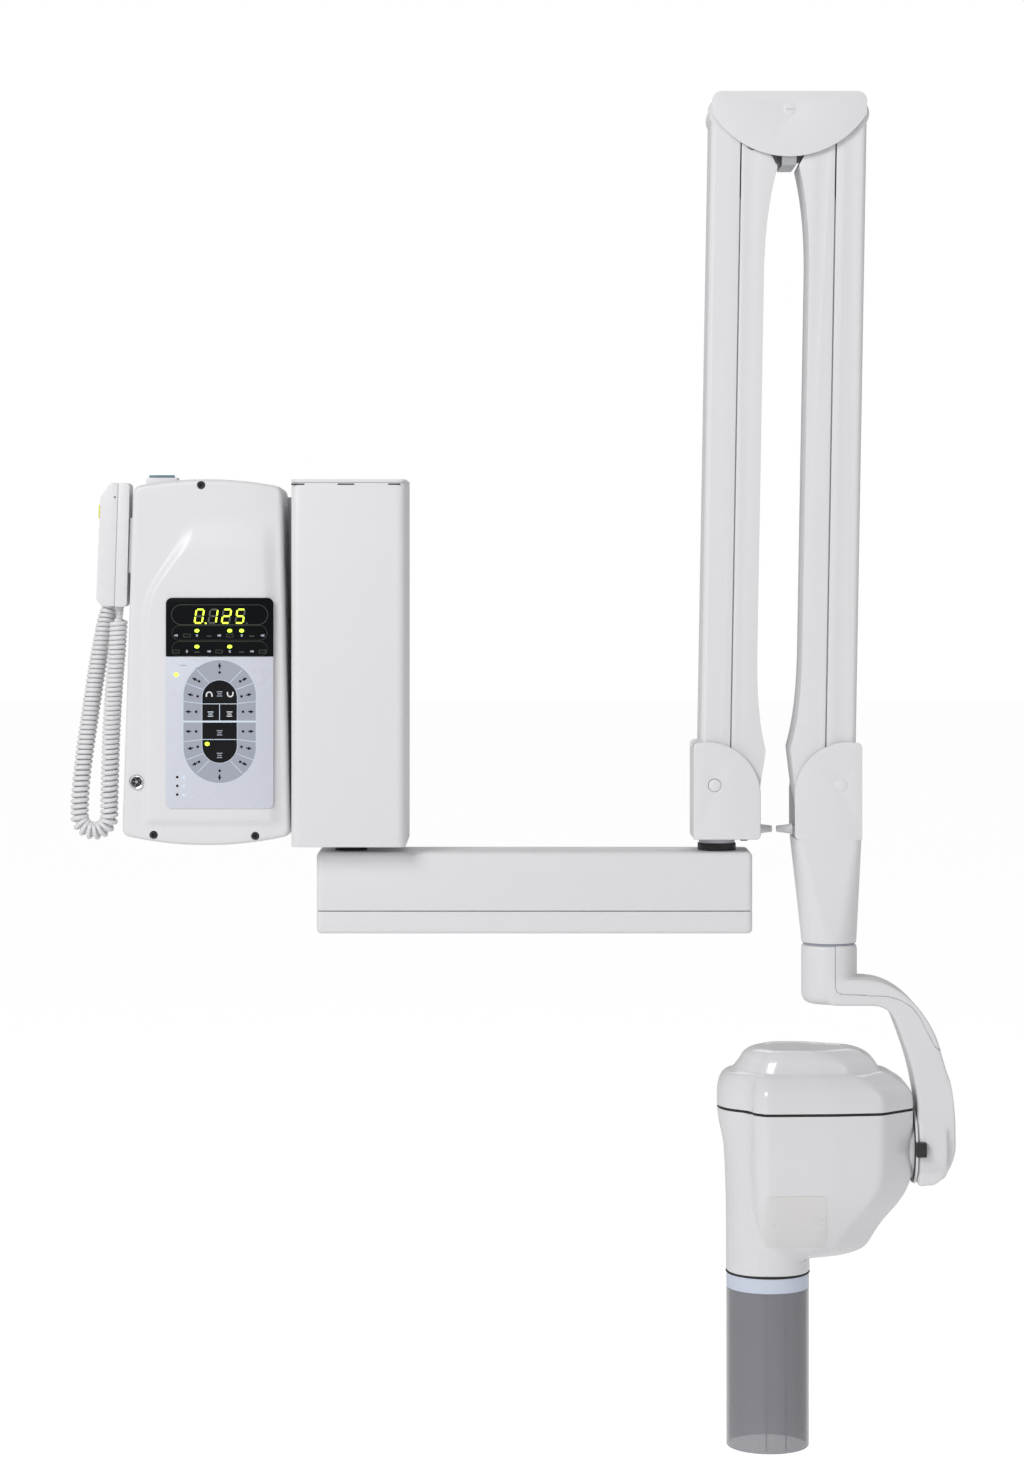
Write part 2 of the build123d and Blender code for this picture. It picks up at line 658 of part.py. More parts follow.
def yoke_solid():
    arm = slab(yoke_outline(), -YOKE_HALF_D, YOKE_HALF_D)
    stub = rod_z(YOKE_X, 0, YOKE_R, STUB_LOW, YOKE_TOP)
    stub = fillet(stub.edges().sort_by(Axis.Z)[0], 9)
    return arm + stub


def panel_zone():
    """Zone of the cable cover, outside a line that follows the outer side of the yoke."""
    edges = [
        Spline((470, -290), (484.5, -293.6), (504.5, -306.8), (523, -334), (538, -378), (543, -417)),
        Line((543, -417), (565, -417)),
        Line((565, -417), (565, -270)),
        Line((565, -270), (470, -270)),
        Line((470, -270), (470, -290)),
    ]
    return slab(make_face(edges), -18, 18)


CLAMP_X = (509.9, 519.0)
CLAMP_Z = (-445, -432)
CLAMP_SEAT = -32.5       # flat on the front of the hub that the clamp sits on


def yoke_body():
    body = yoke_solid() + rod_x(0, TILT_Z, HUB_R, HUB_FACE, HUB_END)
    body -= panel_zone()
    body -= block(HUB_FACE - 5, CLAMP_X[1] + 0.1, -45, CLAMP_SEAT, CLAMP_Z[0] - 0.1, CLAMP_Z[1] + 0.1)
    body -= rod_z(YOKE_X, 0, SPINDLE_R + FIT, STUB_LOW + 6, YOKE_TOP + 1)
    return in_arm_plane(body - rod_x(0, TILT_Z, AXLE_R + FIT, HUB_FACE - 5, HUB_END - 3))


def yoke_cover_panel():
    return in_arm_plane(yoke_solid() & panel_zone())


def yoke_seal():
    return ring_z(YOKE_X, ARM_Y, 24.4, SPINDLE_R + FIT, YOKE_TOP, END_BOTTOM - 0.1)


def tilt_clamp():
    foot = block(HUB_FACE + 0.1, CLAMP_X[1], -HUB_R, CLAMP_SEAT, *CLAMP_Z)
    return in_arm_plane(block(*CLAMP_X, -41, -HUB_R + 0.3, *CLAMP_Z) + foot)


# ---------------------------------------------------------------- tubehead
def head_section(z, x0, x1, half_d, inset=0.0):
    """Eight sided section, cut corners on both sides, wider ones towards the yoke."""
    x0, x1, d = x0 + inset, x1 - inset, half_d - inset
    cut_l, cut_r = 16.0, 24.0
    points = [
        (x0 + cut_l, -d), (x1 - cut_r, -d), (x1, -d + 29), (x1, d - 29),
        (x1 - cut_r, d), (x0 + cut_l, d), (x0, d - 17), (x0, -d + 17),
    ]
    return Plane.XY.offset(z) * outline(*points)


CASING = (
    (HEAD_SEAM, 332.7, 508.5, 64.0),
    (-441.0, 337.1, 508.5, 63.0),
    (-477.0, 339.9, 502.5, 60.0),
    (-513.0, 341.1, 478.5, 50.0),
    (-538.0, 341.7, 453.5, 40.0),
)
TOP = (
    (HEAD_SEAM + GASKET_T, 332.7, 508.5, 64.0),
    (-386.0, 333.7, 502.5, 62.0),
    (-371.0, 340.5, 483.5, 54.0),
    (-362.0, 349.5, 473.5, 49.0),
    (-353.0, 358.5, 464.5, 44.0),
    (-347.0, 369.5, 451.5, 36.0),
)


def stack(sections, inset=0.0):
    faces = [head_section(*section, inset=inset) for section in sections]
    return loft(faces, ruled=True)


def tubehead_casing():
    boss = rod_x(0, TILT_Z, 30, HEAD_FACE - 20, HEAD_FACE)
    body = stack(CASING) + rod_z(CONE_X, 0, CONE_R + 0.4, NECK_BOTTOM, -505)
    body += boss + rod_x(0, TILT_Z, AXLE_R, HEAD_FACE - 20, HUB_END - 4)
    inside = [(CASING[0][0] + 1,) + CASING[0][1:]] + list(CASING[1:4]) + [(CASING[4][0] + 4,) + CASING[4][1:]]
    body -= stack(inside, HEAD_SKIN) - boss
    return in_arm_plane(body - rod_z(CONE_X, 0, BEAM_R, NECK_BOTTOM - 1, -524))


def tubehead_gasket():
    z0, z1 = HEAD_SEAM, HEAD_SEAM + GASKET_T
    ends = [(z,) + CASING[0][1:] for z in (z0, z1)]
    return in_arm_plane(stack(ends, 0.8) - stack([(z0 - 1,) + ends[0][1:], (z1 + 1,) + ends[0][1:]], 6))


def tubehead_top_cover():
    inside = [(TOP[0][0] - 1,) + TOP[0][1:]] + list(TOP[1:5]) + [(TOP[5][0] - 3,) + TOP[5][1:]]
    return in_arm_plane(stack(TOP) - stack(inside, 3.0))


def goniometer_disc():
    disc = rod_x(0, TILT_Z, HUB_R - 0.5, HEAD_FACE, HUB_FACE - 0.4)
    return in_arm_plane(disc - rod_x(0, TILT_Z, AXLE_R, HEAD_FACE - 5, HUB_FACE))


def transformer_block():
    return in_arm_plane(block(CONE_X + 34, CONE_X + 94, -34, 34, -485, -417))


def xray_tube():
    return in_arm_plane(rod_y(CONE_X + 1, -467, 16, -40, 40) + rod_y(CONE_X + 1, -467, 7, -48, 48))


def cone_seal():
    return ring_z(CONE_X, ARM_Y, CONE_R + 0.7, BEAM_R, NECK_BOTTOM - 2, NECK_BOTTOM)


def cone_label_ring():
    return ring_z(CONE_X, ARM_Y, CONE_R, BEAM_R, RING_BOTTOM, NECK_BOTTOM - 2)


def cone_tube():
    return ring_z(CONE_X, ARM_Y, CONE_R, CONE_R - 2.4, CONE_BOTTOM, RING_BOTTOM)


# ---------------------------------------------------------------- write every node
def spindle_bushes():
    return bush_pair(0, (-160, -44), 24)


def swivel_bushes():
    low, top = BEAM_SPAN
    return bush_pair(SCISSOR_X, (low + 1, top - 24.5), 24)


NODES = (
    wall_plate, tower_frame, tower_cover, tower_top_cap, spindle_bushes, terminal_block,
    control_rear_housing, control_front_cover, keypad_overlay, display_window, display_module, control_board,
    cover_screws, remote_socket, power_switch_bezel, power_rocker,
    handset_cradle, handset_front_shell, handset_back_shell, exposure_button, cord_strain_relief, coiled_cord,
    extension_beam, extension_upper_cover, extension_lower_cover, swing_washer, swivel_bushes,
    base_knuckle_casting, base_knuckle_covers, base_pivot_pins, swivel_washer, brake_screw, base_bumper,
    lower_outer_link, lower_spring, lower_inner_link,
    elbow_core, elbow_covers, elbow_pins, elbow_cap_screws,
    upper_outer_link, upper_spring, upper_inner_link,
    end_knuckle_casting, end_knuckle_covers, end_pivot_pins, end_bumper,
    yoke_body, yoke_cover_panel, yoke_seal, tilt_clamp,
    tubehead_casing, tubehead_gasket, tubehead_top_cover, goniometer_disc, transformer_block, xray_tube,
    cone_seal, cone_label_ring, cone_tube,
)

for make in NODES:
    export_step(make(), f"parts/{make.__name__}.step")
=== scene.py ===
"""Looks of the intraoral x-ray unit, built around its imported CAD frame.

Sizes and places in the code are in millimetres along the frame's axes. MM turns them into Blender's metres.
"""
import json
import math

import bmesh
import bpy
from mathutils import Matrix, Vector

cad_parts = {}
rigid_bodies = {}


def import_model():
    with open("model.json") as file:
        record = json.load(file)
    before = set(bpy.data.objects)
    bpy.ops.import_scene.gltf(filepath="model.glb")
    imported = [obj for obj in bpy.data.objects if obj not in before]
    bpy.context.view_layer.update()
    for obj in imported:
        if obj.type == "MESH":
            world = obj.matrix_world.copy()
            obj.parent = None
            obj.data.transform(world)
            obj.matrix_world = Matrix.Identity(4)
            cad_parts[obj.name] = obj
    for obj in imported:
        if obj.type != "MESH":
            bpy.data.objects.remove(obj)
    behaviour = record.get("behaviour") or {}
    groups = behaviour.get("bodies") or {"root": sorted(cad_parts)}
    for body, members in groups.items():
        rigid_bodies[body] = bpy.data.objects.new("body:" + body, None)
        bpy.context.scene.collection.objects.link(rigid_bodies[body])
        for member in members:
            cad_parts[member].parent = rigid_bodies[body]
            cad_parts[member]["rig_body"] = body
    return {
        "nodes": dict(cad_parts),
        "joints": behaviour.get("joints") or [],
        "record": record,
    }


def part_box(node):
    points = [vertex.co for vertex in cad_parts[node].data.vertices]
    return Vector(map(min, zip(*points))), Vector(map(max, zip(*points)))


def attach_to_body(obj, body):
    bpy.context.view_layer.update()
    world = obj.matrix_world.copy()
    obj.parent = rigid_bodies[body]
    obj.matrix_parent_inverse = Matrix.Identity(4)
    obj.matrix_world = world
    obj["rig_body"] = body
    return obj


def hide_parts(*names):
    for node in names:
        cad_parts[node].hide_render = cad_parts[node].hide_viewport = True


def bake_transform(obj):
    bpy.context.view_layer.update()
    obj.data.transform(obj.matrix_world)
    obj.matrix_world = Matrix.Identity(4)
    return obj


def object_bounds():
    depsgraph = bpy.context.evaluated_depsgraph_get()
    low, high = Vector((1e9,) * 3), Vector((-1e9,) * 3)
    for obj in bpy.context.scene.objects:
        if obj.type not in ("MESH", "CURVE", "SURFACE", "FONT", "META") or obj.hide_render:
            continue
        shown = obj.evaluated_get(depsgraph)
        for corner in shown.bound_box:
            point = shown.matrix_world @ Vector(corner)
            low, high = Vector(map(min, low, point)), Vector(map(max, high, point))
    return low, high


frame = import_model()
cad_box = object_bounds()
MM = 0.001


# ---------- materials
def preset(node, values=None):
    """Give inputs of a shader node fixed values, by name."""
    for key, value in (values or {}).items():
        node.inputs[key].default_value = value
    return node


def new_node(tree, kind, values=None):
    return preset(tree.nodes.new("ShaderNode" + kind), values)


def wire(tree, source, outlet, target, inlet):
    tree.links.new(source.outputs[outlet], target.inputs[inlet])


def new_material(name, values):
    material = bpy.data.materials.new(name)
    material.use_nodes = True
    tree = material.node_tree
    return material, tree, preset(tree.nodes["Principled BSDF"], values)


def object_noise(tree, scale, detail=3.0, stretch=None):
    """Noise in the object's own metres, drawn out along an axis if asked."""
    noise = new_node(tree, "TexNoise", {"Scale": scale, "Detail": detail})
    place, outlet = new_node(tree, "TexCoord"), "Object"
    if stretch:
        scaling = new_node(tree, "Mapping", {"Scale": stretch})
        wire(tree, place, outlet, scaling, "Vector")
        place, outlet = scaling, "Vector"
    wire(tree, place, outlet, noise, "Vector")
    return noise


def uneven(tree, noise, shader, inlet, value, low, high):
    """Let noise drive an input of the shader between two shares of a value."""
    remap = new_node(tree, "MapRange", {"From Min": 0.3, "From Max": 0.7, "To Min": value * low,
                                        "To Max": value * high})
    wire(tree, noise, "Fac", remap, "Value")
    wire(tree, remap, "Result", shader, inlet)


def relief(tree, noise, shader, strength, depth):
    """Fine grain on top of the real shape, its depth in metres."""
    bump = new_node(tree, "Bump", {"Strength": strength, "Distance": depth})
    wire(tree, noise, "Fac", bump, "Height")
    wire(tree, bump, "Normal", shader, "Normal")


def surface(name, color, roughness, grain=900.0, bump=0.15, depth=0.00005, metallic=0.0, coat=0.0,
            tint=0.02, gleam=0.5):
    """Opaque finish: slight colour drift, uneven gloss and a fine moulded or sprayed grain."""
    material, tree, shader = new_material(name, {
        "Metallic": metallic, "Coat Weight": coat, "Coat Roughness": 0.08, "Specular IOR Level": gleam})
    shades = new_node(tree, "Mix")
    shades.data_type = "RGBA"
    preset(shades, {"A": [c * (1 - tint) for c in color] + [1], "B": [c * (1 + tint) for c in color] + [1]})
    wire(tree, object_noise(tree, 14.0), "Fac", shades, "Factor")
    wire(tree, shades, "Result", shader, "Base Color")
    uneven(tree, object_noise(tree, 55.0), shader, "Roughness", roughness, 0.88, 1.12)
    relief(tree, object_noise(tree, grain, 2.0), shader, bump, depth)
    return material


def brushed(name, color, roughness, stretch=(1, 1, 60)):
    """Metal with fine lines drawn along one direction."""
    material, tree, shader = new_material(name, {"Metallic": 1.0, "Base Color": (*color, 1)})
    lines = object_noise(tree, 90.0, 2.0, stretch)
    uneven(tree, lines, shader, "Roughness", roughness, 0.7, 1.3)
    relief(tree, lines, shader, 0.1, 0.00004)
    return material


def clear(name, color, roughness, alpha):
    """Tinted clear plastic or glass that also lets plain light through."""
    material, tree, shader = new_material(name, {
        "Base Color": (*color, 1), "Alpha": alpha, "IOR": 1.49, "Coat Weight": 0.6})
    uneven(tree, object_noise(tree, 40.0), shader, "Roughness", roughness, 0.6, 1.8)
    return material


def lit(name, color, strength):
    """Back-lit segment or lamp, a little uneven across its face."""
    material, tree, shader = new_material(name, {
        "Base Color": (*[c * 0.5 for c in color], 1), "Emission Color": (*color, 1)})
    uneven(tree, object_noise(tree, 600.0), shader, "Emission Strength", strength, 0.85, 1.15)
    return material


def printed(name, color, roughness=0.35, tint=0.02, gleam=0.5):
    return surface(name, color, roughness, grain=1800, bump=0.1, tint=tint, gleam=gleam)


MATERIALS = {
    "white_plastic": surface("satin_white_plastic", (0.74, 0.735, 0.75), 0.36, 1400, 0.25, coat=0.1,
                             tint=0.012),
    "white_paint": surface("white_powder_coat", (0.735, 0.73, 0.745), 0.42, 420, 0.22, 0.0001, tint=0.01),
    "head_white": surface("gloss_white_plastic", (0.73, 0.73, 0.745), 0.2, 260, 0.06, coat=0.5, tint=0.01),
    "galvanised": surface("zinc_plated_steel", (0.5, 0.51, 0.53), 0.35, 160, 0.2, metallic=1.0, tint=0.12),
    "cast_alloy": surface("cast_alloy", (0.55, 0.56, 0.58), 0.5, 700, 0.5, metallic=0.9, tint=0.05),
    "steel": brushed("ground_steel", (0.56, 0.57, 0.59), 0.28),
    "bronze": brushed("sintered_bronze", (0.62, 0.44, 0.24), 0.4, (40, 40, 1)),
    "chrome": brushed("polished_chrome", (0.78, 0.79, 0.81), 0.12, (30, 1, 30)),
    "dark_screw": surface("blackened_steel", (0.05, 0.05, 0.055), 0.38, 500, metallic=0.8, tint=0.1),
    "black_plastic": surface("black_plastic", (0.018, 0.018, 0.02), 0.45, 1200, 0.4, tint=0.1),
    "black_rubber": surface("black_rubber", (0.012, 0.012, 0.013), 0.7, 900, 0.5, tint=0.1),
    "overlay_blue_grey": surface("keypad_film", (0.62, 0.64, 0.71), 0.3, 1800, 0.12, tint=0.015),
    "display_black": surface("display_film", (0.002, 0.0025, 0.004), 0.3, 1500, 0.05, tint=0.1, gleam=0.14),
    "circuit_green": surface("circuit_board", (0.015, 0.12, 0.05), 0.4, 300, 0.3, tint=0.15),
    "peg_grey": surface("bumper_plastic", (0.6, 0.58, 0.55), 0.55, 900, 0.3, tint=0.03),
    "cord_white": surface("cord_sheath", (0.74, 0.74, 0.75), 0.42, 900, 0.25, tint=0.02),
    "yellow_button": surface("yellow_plastic", (0.72, 0.66, 0.06), 0.4, tint=0.03),
    "rocker_teal": surface("rocker_lens", (0.16, 0.25, 0.3), 0.2, coat=0.4, tint=0.08),
    "tube_glass": clear("tube_glass", (0.8, 0.86, 0.88), 0.05, 0.35),
    "smoke_glass": clear("smoked_cone", (0.25, 0.25, 0.28), 0.06, 0.66),
    "label_pale": surface("printed_band", (0.6, 0.65, 0.76), 0.3, 900, 0.1),
    "oil_block": surface("potted_block", (0.12, 0.12, 0.14), 0.6, 200, 0.4, tint=0.1),
}
PRINT = {
    # This grey serves the key prints and the lip seal, and also paints the shade along the yoke's cover seam.
    "grey": printed("key_grey", (0.36, 0.38, 0.45), 0.32),
    # This black serves the key prints and also paints the shade of the gaps on the tower's top edge.
    "black": printed("key_black", (0.006, 0.006, 0.008), tint=0.1, gleam=0.2),
    "line": printed("print_blue_white", (0.66, 0.76, 0.86)),
    "white": printed("print_white", (0.8, 0.8, 0.82)),
    "ghost": printed("unlit_segment", (0.09, 0.1, 0.08), tint=0.05),
    "lime": lit("lit_segment", (0.72, 1.0, 0.06), 1.6),
    "lamp": lit("lit_lamp", (0.55, 1.0, 0.05), 2.0),
    "sticker": surface("blank_sticker", (0.705, 0.695, 0.69), 0.3, 1500, 0.1),
}
SLOT_OF = {entry["node"]: entry["material_slot"] for entry in frame["record"]["subparts"]}

for node_name, slot_name in SLOT_OF.items():
    for material_slot in frame["nodes"][node_name].material_slots:
        material_slot.material = MATERIALS[slot_name]


# ---------- mesh tools
def place_of(node):
    """Lowest and highest corner of a CAD node."""
    low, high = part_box(node)
    return [c / MM for c in low], [c / MM for c in high]


def middle_of(node):
    low, high = place_of(node)
    return [(a + b) / 2 for a, b in zip(low, high)]


def upright(node):
    """Foot of the axis, radius and height of a round node that stands along Z."""
    low, high = place_of(node)
    x, y, _ = middle_of(node)
    return (x, y, low[2]), (high[0] - low[0]) / 2, high[2] - low[2]


def shade(obj, degrees=32):
    """Smooth shading with sharp edges kept above an angle."""
    obj.data.shade_smooth()
    obj.data.set_sharp_from_angle(angle=math.radians(degrees))


def link(name, data):
    obj = bpy.data.objects.new(name, data)
    bpy.context.collection.objects.link(obj)
    return obj


def attach(obj, node, instead=False):
    """Let a piece move with a CAD node's body and, if asked, stand in for that node."""
    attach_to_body(obj, frame["nodes"][node]["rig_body"])
    if instead:
        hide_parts(node)


def mend(obj, flat=0.0):
    """Merge doubled points, turn all faces outwards and, if asked, join flat neighbours."""
    work = bmesh.new()
    work.from_mesh(obj.data)
    bmesh.ops.remove_doubles(work, verts=work.verts, dist=2e-6)
    if flat:
        bmesh.ops.dissolve_limit(work, angle_limit=math.radians(flat), verts=work.verts, edges=work.edges)
    bmesh.ops.recalc_face_normals(work, faces=work.faces)
    work.to_mesh(obj.data)
    work.free()


def mesh_object(name, points, faces, material=None):
    mesh = bpy.data.meshes.new(name)
    mesh.from_pydata([Vector(p) * MM for p in points], [], faces)
    mesh.validate()
    obj = link(name, mesh)
    mend(obj)
    if material:
        mesh.materials.append(material)
    return obj


def add_piece(name, points, faces, node, material=None, instead=False, degrees=32):
    """Piece that rides with a CAD node and takes that node's finish."""
    obj = mesh_object(name, points, faces, material or MATERIALS[SLOT_OF[node]])
    shade(obj, degrees)
    attach(obj, node, instead)
    return obj


def add_film(name, columns, rows, place, node, thickness, offset=-1, material=None):
    """Thin curved sheet. Its points are placed by their shares of the width and the height."""
    points = [place(c / columns, r / rows) for r in range(rows + 1) for c in range(columns + 1)]
    obj = add_piece(name, points, grid(columns, rows), node, material, degrees=60)
    modify(obj, "SOLIDIFY", 60, thickness=thickness * MM, offset=offset)


def modify(obj, kind, degrees=32, **settings):
    """Add a modifier, apply it and shade the result."""
    modifier = obj.modifiers.new(kind, kind)
    for key, value in settings.items():
        setattr(modifier, key, value)
    graph = bpy.context.evaluated_depsgraph_get()
    obj.data = bpy.data.meshes.new_from_object(obj.evaluated_get(graph))
    obj.modifiers.clear()
    shade(obj, degrees)


def round_edges(obj, width, angle, degrees):
    modify(obj, "BEVEL", degrees, width=width * MM, segments=3, limit_method="ANGLE",
           angle_limit=math.radians(angle))


def copy_node(name, *nodes):
    """New object with the joined meshes of some CAD nodes."""
    work = bmesh.new()
    for node in nodes:
        work.from_mesh(frame["nodes"][node].data)
    mesh = bpy.data.meshes.new(name)
    work.to_mesh(mesh)
    work.free()
    mesh.materials.append(MATERIALS[SLOT_OF[nodes[0]]])
    return link(name, mesh)


def softened(node, width):
    """The node's shape with its sharp edges rounded over, as moulded or sprayed parts have."""
    obj = copy_node(node + "_soft", node)
    mend(obj, flat=0.6)
    round_edges(obj, width, 28, 40)
    attach(obj, node, True)


def band(rows, count, hollow=False):
    """Faces over rings of points. A hollow shape closes on itself, any other gets two end caps."""
    faces = []
    for row in range(rows if hollow else rows - 1):
        above = (row + 1) % rows
        for k in range(count):
            n = (k + 1) % count
            faces.append((row * count + k, row * count + n, above * count + n, above * count + k))
    if not hollow:
        faces.append(list(range(count))[::-1])
        faces.append([(rows - 1) * count + k for k in range(count)])
    return faces


def grid(columns, rows):
    """Faces over rows of points that form an open sheet."""
    starts = [r * (columns + 1) + c for r in range(rows) for c in range(columns)]
    return [(a, a + 1, a + columns + 2, a + columns + 1) for a in starts]


def turns(steps, start=0.0):
    """Cosine and sine at even steps round a full turn."""
    angles = [2 * math.pi * (k + start) / steps for k in range(steps)]
    return [(math.cos(a), math.sin(a)) for a in angles]


def lathe(name, profile, centre, axis, node, material=None, instead=False, steps=72):
    """Turned piece from (radius, distance along the axis): a ring if the profile ends where it began."""
    hollow = profile[0] == profile[-1]
    if hollow:
        profile = profile[:-1]
    stand = Vector(axis).to_track_quat("Z", "Y").to_matrix()
    points = [Vector(centre) + stand @ Vector((radius * c, radius * s, along))
              for radius, along in profile for c, s in turns(steps)]
    return add_piece(name, points, band(len(profile), steps, hollow), node, material, instead)


def prism(outline, y0, y1):
    """Points and faces of an (x, z) outline drawn out between two depths."""
    n = len(outline)
    points = [(x, y0, z) for x, z in outline] + [(x, y1, z) for x, z in outline]
    faces = [list(range(n)), list(range(2 * n - 1, n - 1, -1))]
    faces += [(k, (k + 1) % n, n + (k + 1) % n, n + k) for k in range(n)]
    return points, faces


def trim(obj, outline, y0, y1, operation="DIFFERENCE"):
    """Cut away, or with INTERSECT keep, what lies inside an (x, z) outline between two depths."""
    block = mesh_object("block", *prism(outline, y0, y1))
    modify(obj, "BOOLEAN", 40, operation=operation, solver="EXACT", object=block)
    bpy.data.objects.remove(block)


def rectangle(x0, z0, x1, z1):
    return [(x0, z0), (x1, z0), (x1, z1), (x0, z1)]


def circle(x, z, rx, rz=None, steps=28):
    return [(x + rx * c, z + (rz or rx) * s) for c, s in turns(steps)]


def rounded(corners, radius, steps=5):
    """Closed outline with each corner cut by a smooth bend."""
    out = []
    count = len(corners)
    for k in range(count):
        before, here, after = (Vector(corners[(k + j) % count]) for j in (-1, 0, 1))
        start = here + (before - here) * min(0.45, radius / max((before - here).length, 1e-6))
        end = here + (after - here) * min(0.45, radius / max((after - here).length, 1e-6))
        for j in range(steps + 1):
            t = j / steps
            out.append(tuple(start * (1 - t) ** 2 + here * 2 * t * (1 - t) + end * t ** 2))
    return out


def smooth(low, high, value):
    t = min(1.0, max(0.0, (value - low) / (high - low)))
    return t * t * (3 - 2 * t)


def through(stations, t):
    """Smooth curve through the values in stations, t from 0 to their count less one."""
    k = min(int(t), len(stations) - 2)
    u = t - k
    p0, p1 = stations[max(k - 1, 0)], stations[k]
    p2, p3 = stations[k + 1], stations[min(k + 2, len(stations) - 1)]
    out = []
    for a, b, c, d in zip(p0, p1, p2, p3):
        out.append(0.5 * (2 * b + (c - a) * u + (2 * a - 5 * b + 4 * c - d) * u * u
                          + (3 * b - a - 3 * c + d) * u ** 3))
    return out


def travel(path):
    """Each point of a path with two directions square to it that twist as little as they can."""
    side = Vector((0, 1, 0))
    for k, here in enumerate(path):
        ahead = (path[min(k + 1, len(path) - 1)] - path[max(k - 1, 0)]).normalized()
        side = (side - ahead * side.dot(ahead)).normalized()
        yield here, side, ahead.cross(side)


def tube(path, radius, sides):
    """Points and faces of a round wire along a path."""
    points = [here + side * radius * c + other * radius * s
              for here, side, other in travel(path) for c, s in turns(sides)]
    return points, band(len(path), sides)


# ---------- tubehead
HEAD_LEFT = place_of("tubehead_top_cover")[0][0]
HEAD_AXIS = HEAD_LEFT + 62
COLUMN_END = HEAD_LEFT + 82
WAYS = turns(288)


def reach(outline, ux, uy):
    """Distance from the head's upright axis to a closed outline, one way."""
    best = 0.0
    for (ax, ay), (bx, by) in zip(outline, outline[1:] + outline[:1]):
        ex, ey = bx - ax, by - ay
        det = ux * ey - uy * ex
        if abs(det) < 1e-9:
            continue
        t = ((ax - HEAD_AXIS) * ey - ay * ex) / det
        s = ((ax - HEAD_AXIS) * uy - ay * ux) / det
        if t > best and -1e-6 <= s <= 1 + 1e-6:
            best = t
    return best


def blended(a, b, width):
    """Larger of two distances, with a soft valley between them."""
    h = min(1.0, max(0.0, 0.5 + 0.5 * (a - b) / width))
    return b + (a - b) * h + width * h * (1 - h)


def body_plan(xa, xr, deep):
    """Plan of the casing's body, its yoke side cut off at an angle."""
    half = [(xa, 0.4 * deep), (xa + 4, 0.87 * deep), (xa + 14, deep), (xa + 0.5 * (xr - xa), 0.96 * deep),
            (xr - 31, 0.87 * deep), (xr, 0.42 * deep)]
    return rounded(half + [(x, -y) for x, y in half[::-1]], 4)


def column_plan(xl, xr, deep):
    """Superellipse, almost round."""
    squash = 2 / 2.2
    return [((xl + xr) / 2 + (xr - xl) / 2 * math.copysign(abs(c) ** squash, c),
             deep * math.copysign(abs(s) ** squash, s)) for c, s in turns(48)]


def head_ring(z, xl, xa, xr, deep, column, side, valley):
    """Station of the head: a narrow column from xl to side and a deep body from xa to xr, run together.

    All but side count from the head's left end.
    """
    pillar = column_plan(HEAD_LEFT + xl, side, column)
    body = body_plan(HEAD_LEFT + xa, HEAD_LEFT + xr, deep)
    return [z] + [blended(reach(pillar, *way), reach(body, *way), valley) for way in WAYS]


def ring_stack(name, stations, fine, node):
    """Closed shell through stations of a height and the distance each way."""
    middle = middle_of("cone_tube")[1]
    rows = [through(stations, k / fine) for k in range((len(stations) - 1) * fine + 1)]
    points = [(HEAD_AXIS + out * c, middle + out * s, z)
              for z, *distances in rows for (c, s), out in zip(WAYS, distances)]
    add_piece(name, points, band(len(rows), len(WAYS)), node, instead=True, degrees=50)


def head_cover():
    """Two stepped tiers and a sunk panel on top.

    Tiers: height over the seam, then left end, start of the body and right end from the head's left, and the
    half depths of body and column.
    """
    low, high = place_of("tubehead_top_cover")
    seam = low[2]
    tiers = [
        (0, 0, 26, 175.8, 64, 42), (8, 0, 26, 175.6, 63.8, 42), (15, 0.2, 26.2, 174.2, 63, 41.6),
        (20, 0.8, 26.6, 171.2, 61.6, 41), (24.5, 1.8, 27.4, 166.4, 59, 40),
        (28.5, 3.6, 28.6, 160.4, 55.8, 38.6), (31.5, 6, 29.8, 156, 52.4, 37),
        (33.6, 9.4, 31.4, 151.6, 48.6, 35.4), (35, 13.4, 33.4, 147.4, 46, 33.6),
        (39, 16.8, 35, 144.8, 44.8, 32), (44, 20.4, 36.8, 141.6, 43.6, 30.6),
        (49, 23.2, 39, 136.2, 41.4, 28.8), (52.8, 27.4, 42, 129, 38.2, 26.6),
        (55, 32, 45.4, 122, 35.4, 24.6), (55.8, 36.4, 48.6, 116.4, 32.2, 22.8),
        (55.6, 39.4, 51, 113.4, 30.2, 21.4), (55, 40.8, 52.2, 112, 29.4, 20.6),
    ]
    rings = []
    stretch = (high[2] - seam - 3.2) / max(tier[0] for tier in tiers)
    for up, xl, xa, xr, deep, column in tiers:
        up *= stretch
        side = HEAD_LEFT + xl + 82 * (1 - up / 110)
        rings.append(head_ring(seam + up, xl, xa, xr, deep, column, side, 16))
    rim = rings[-1]
    for share in (0.8, 0.55, 0.3, 0.05):
        rings.append([rim[0]] + [distance * share for distance in rim[1:]])
    ring_stack("head_cover", rings, 3, "tubehead_top_cover")


def head_gasket():
    low, high = place_of("tubehead_gasket")
    rings = []
    for z, inset in ((low[2] - 0.2, 1.0), (low[2] + 0.3, 0.7), (high[2] - 0.3, 0.7), (high[2] + 0.2, 1.0)):
        rings.append(head_ring(z, inset, 26 + inset, 175.8 - inset, 64 - inset, 42 - inset, COLUMN_END, 16))
    ring_stack("head_gasket", rings, 1, "tubehead_gasket")


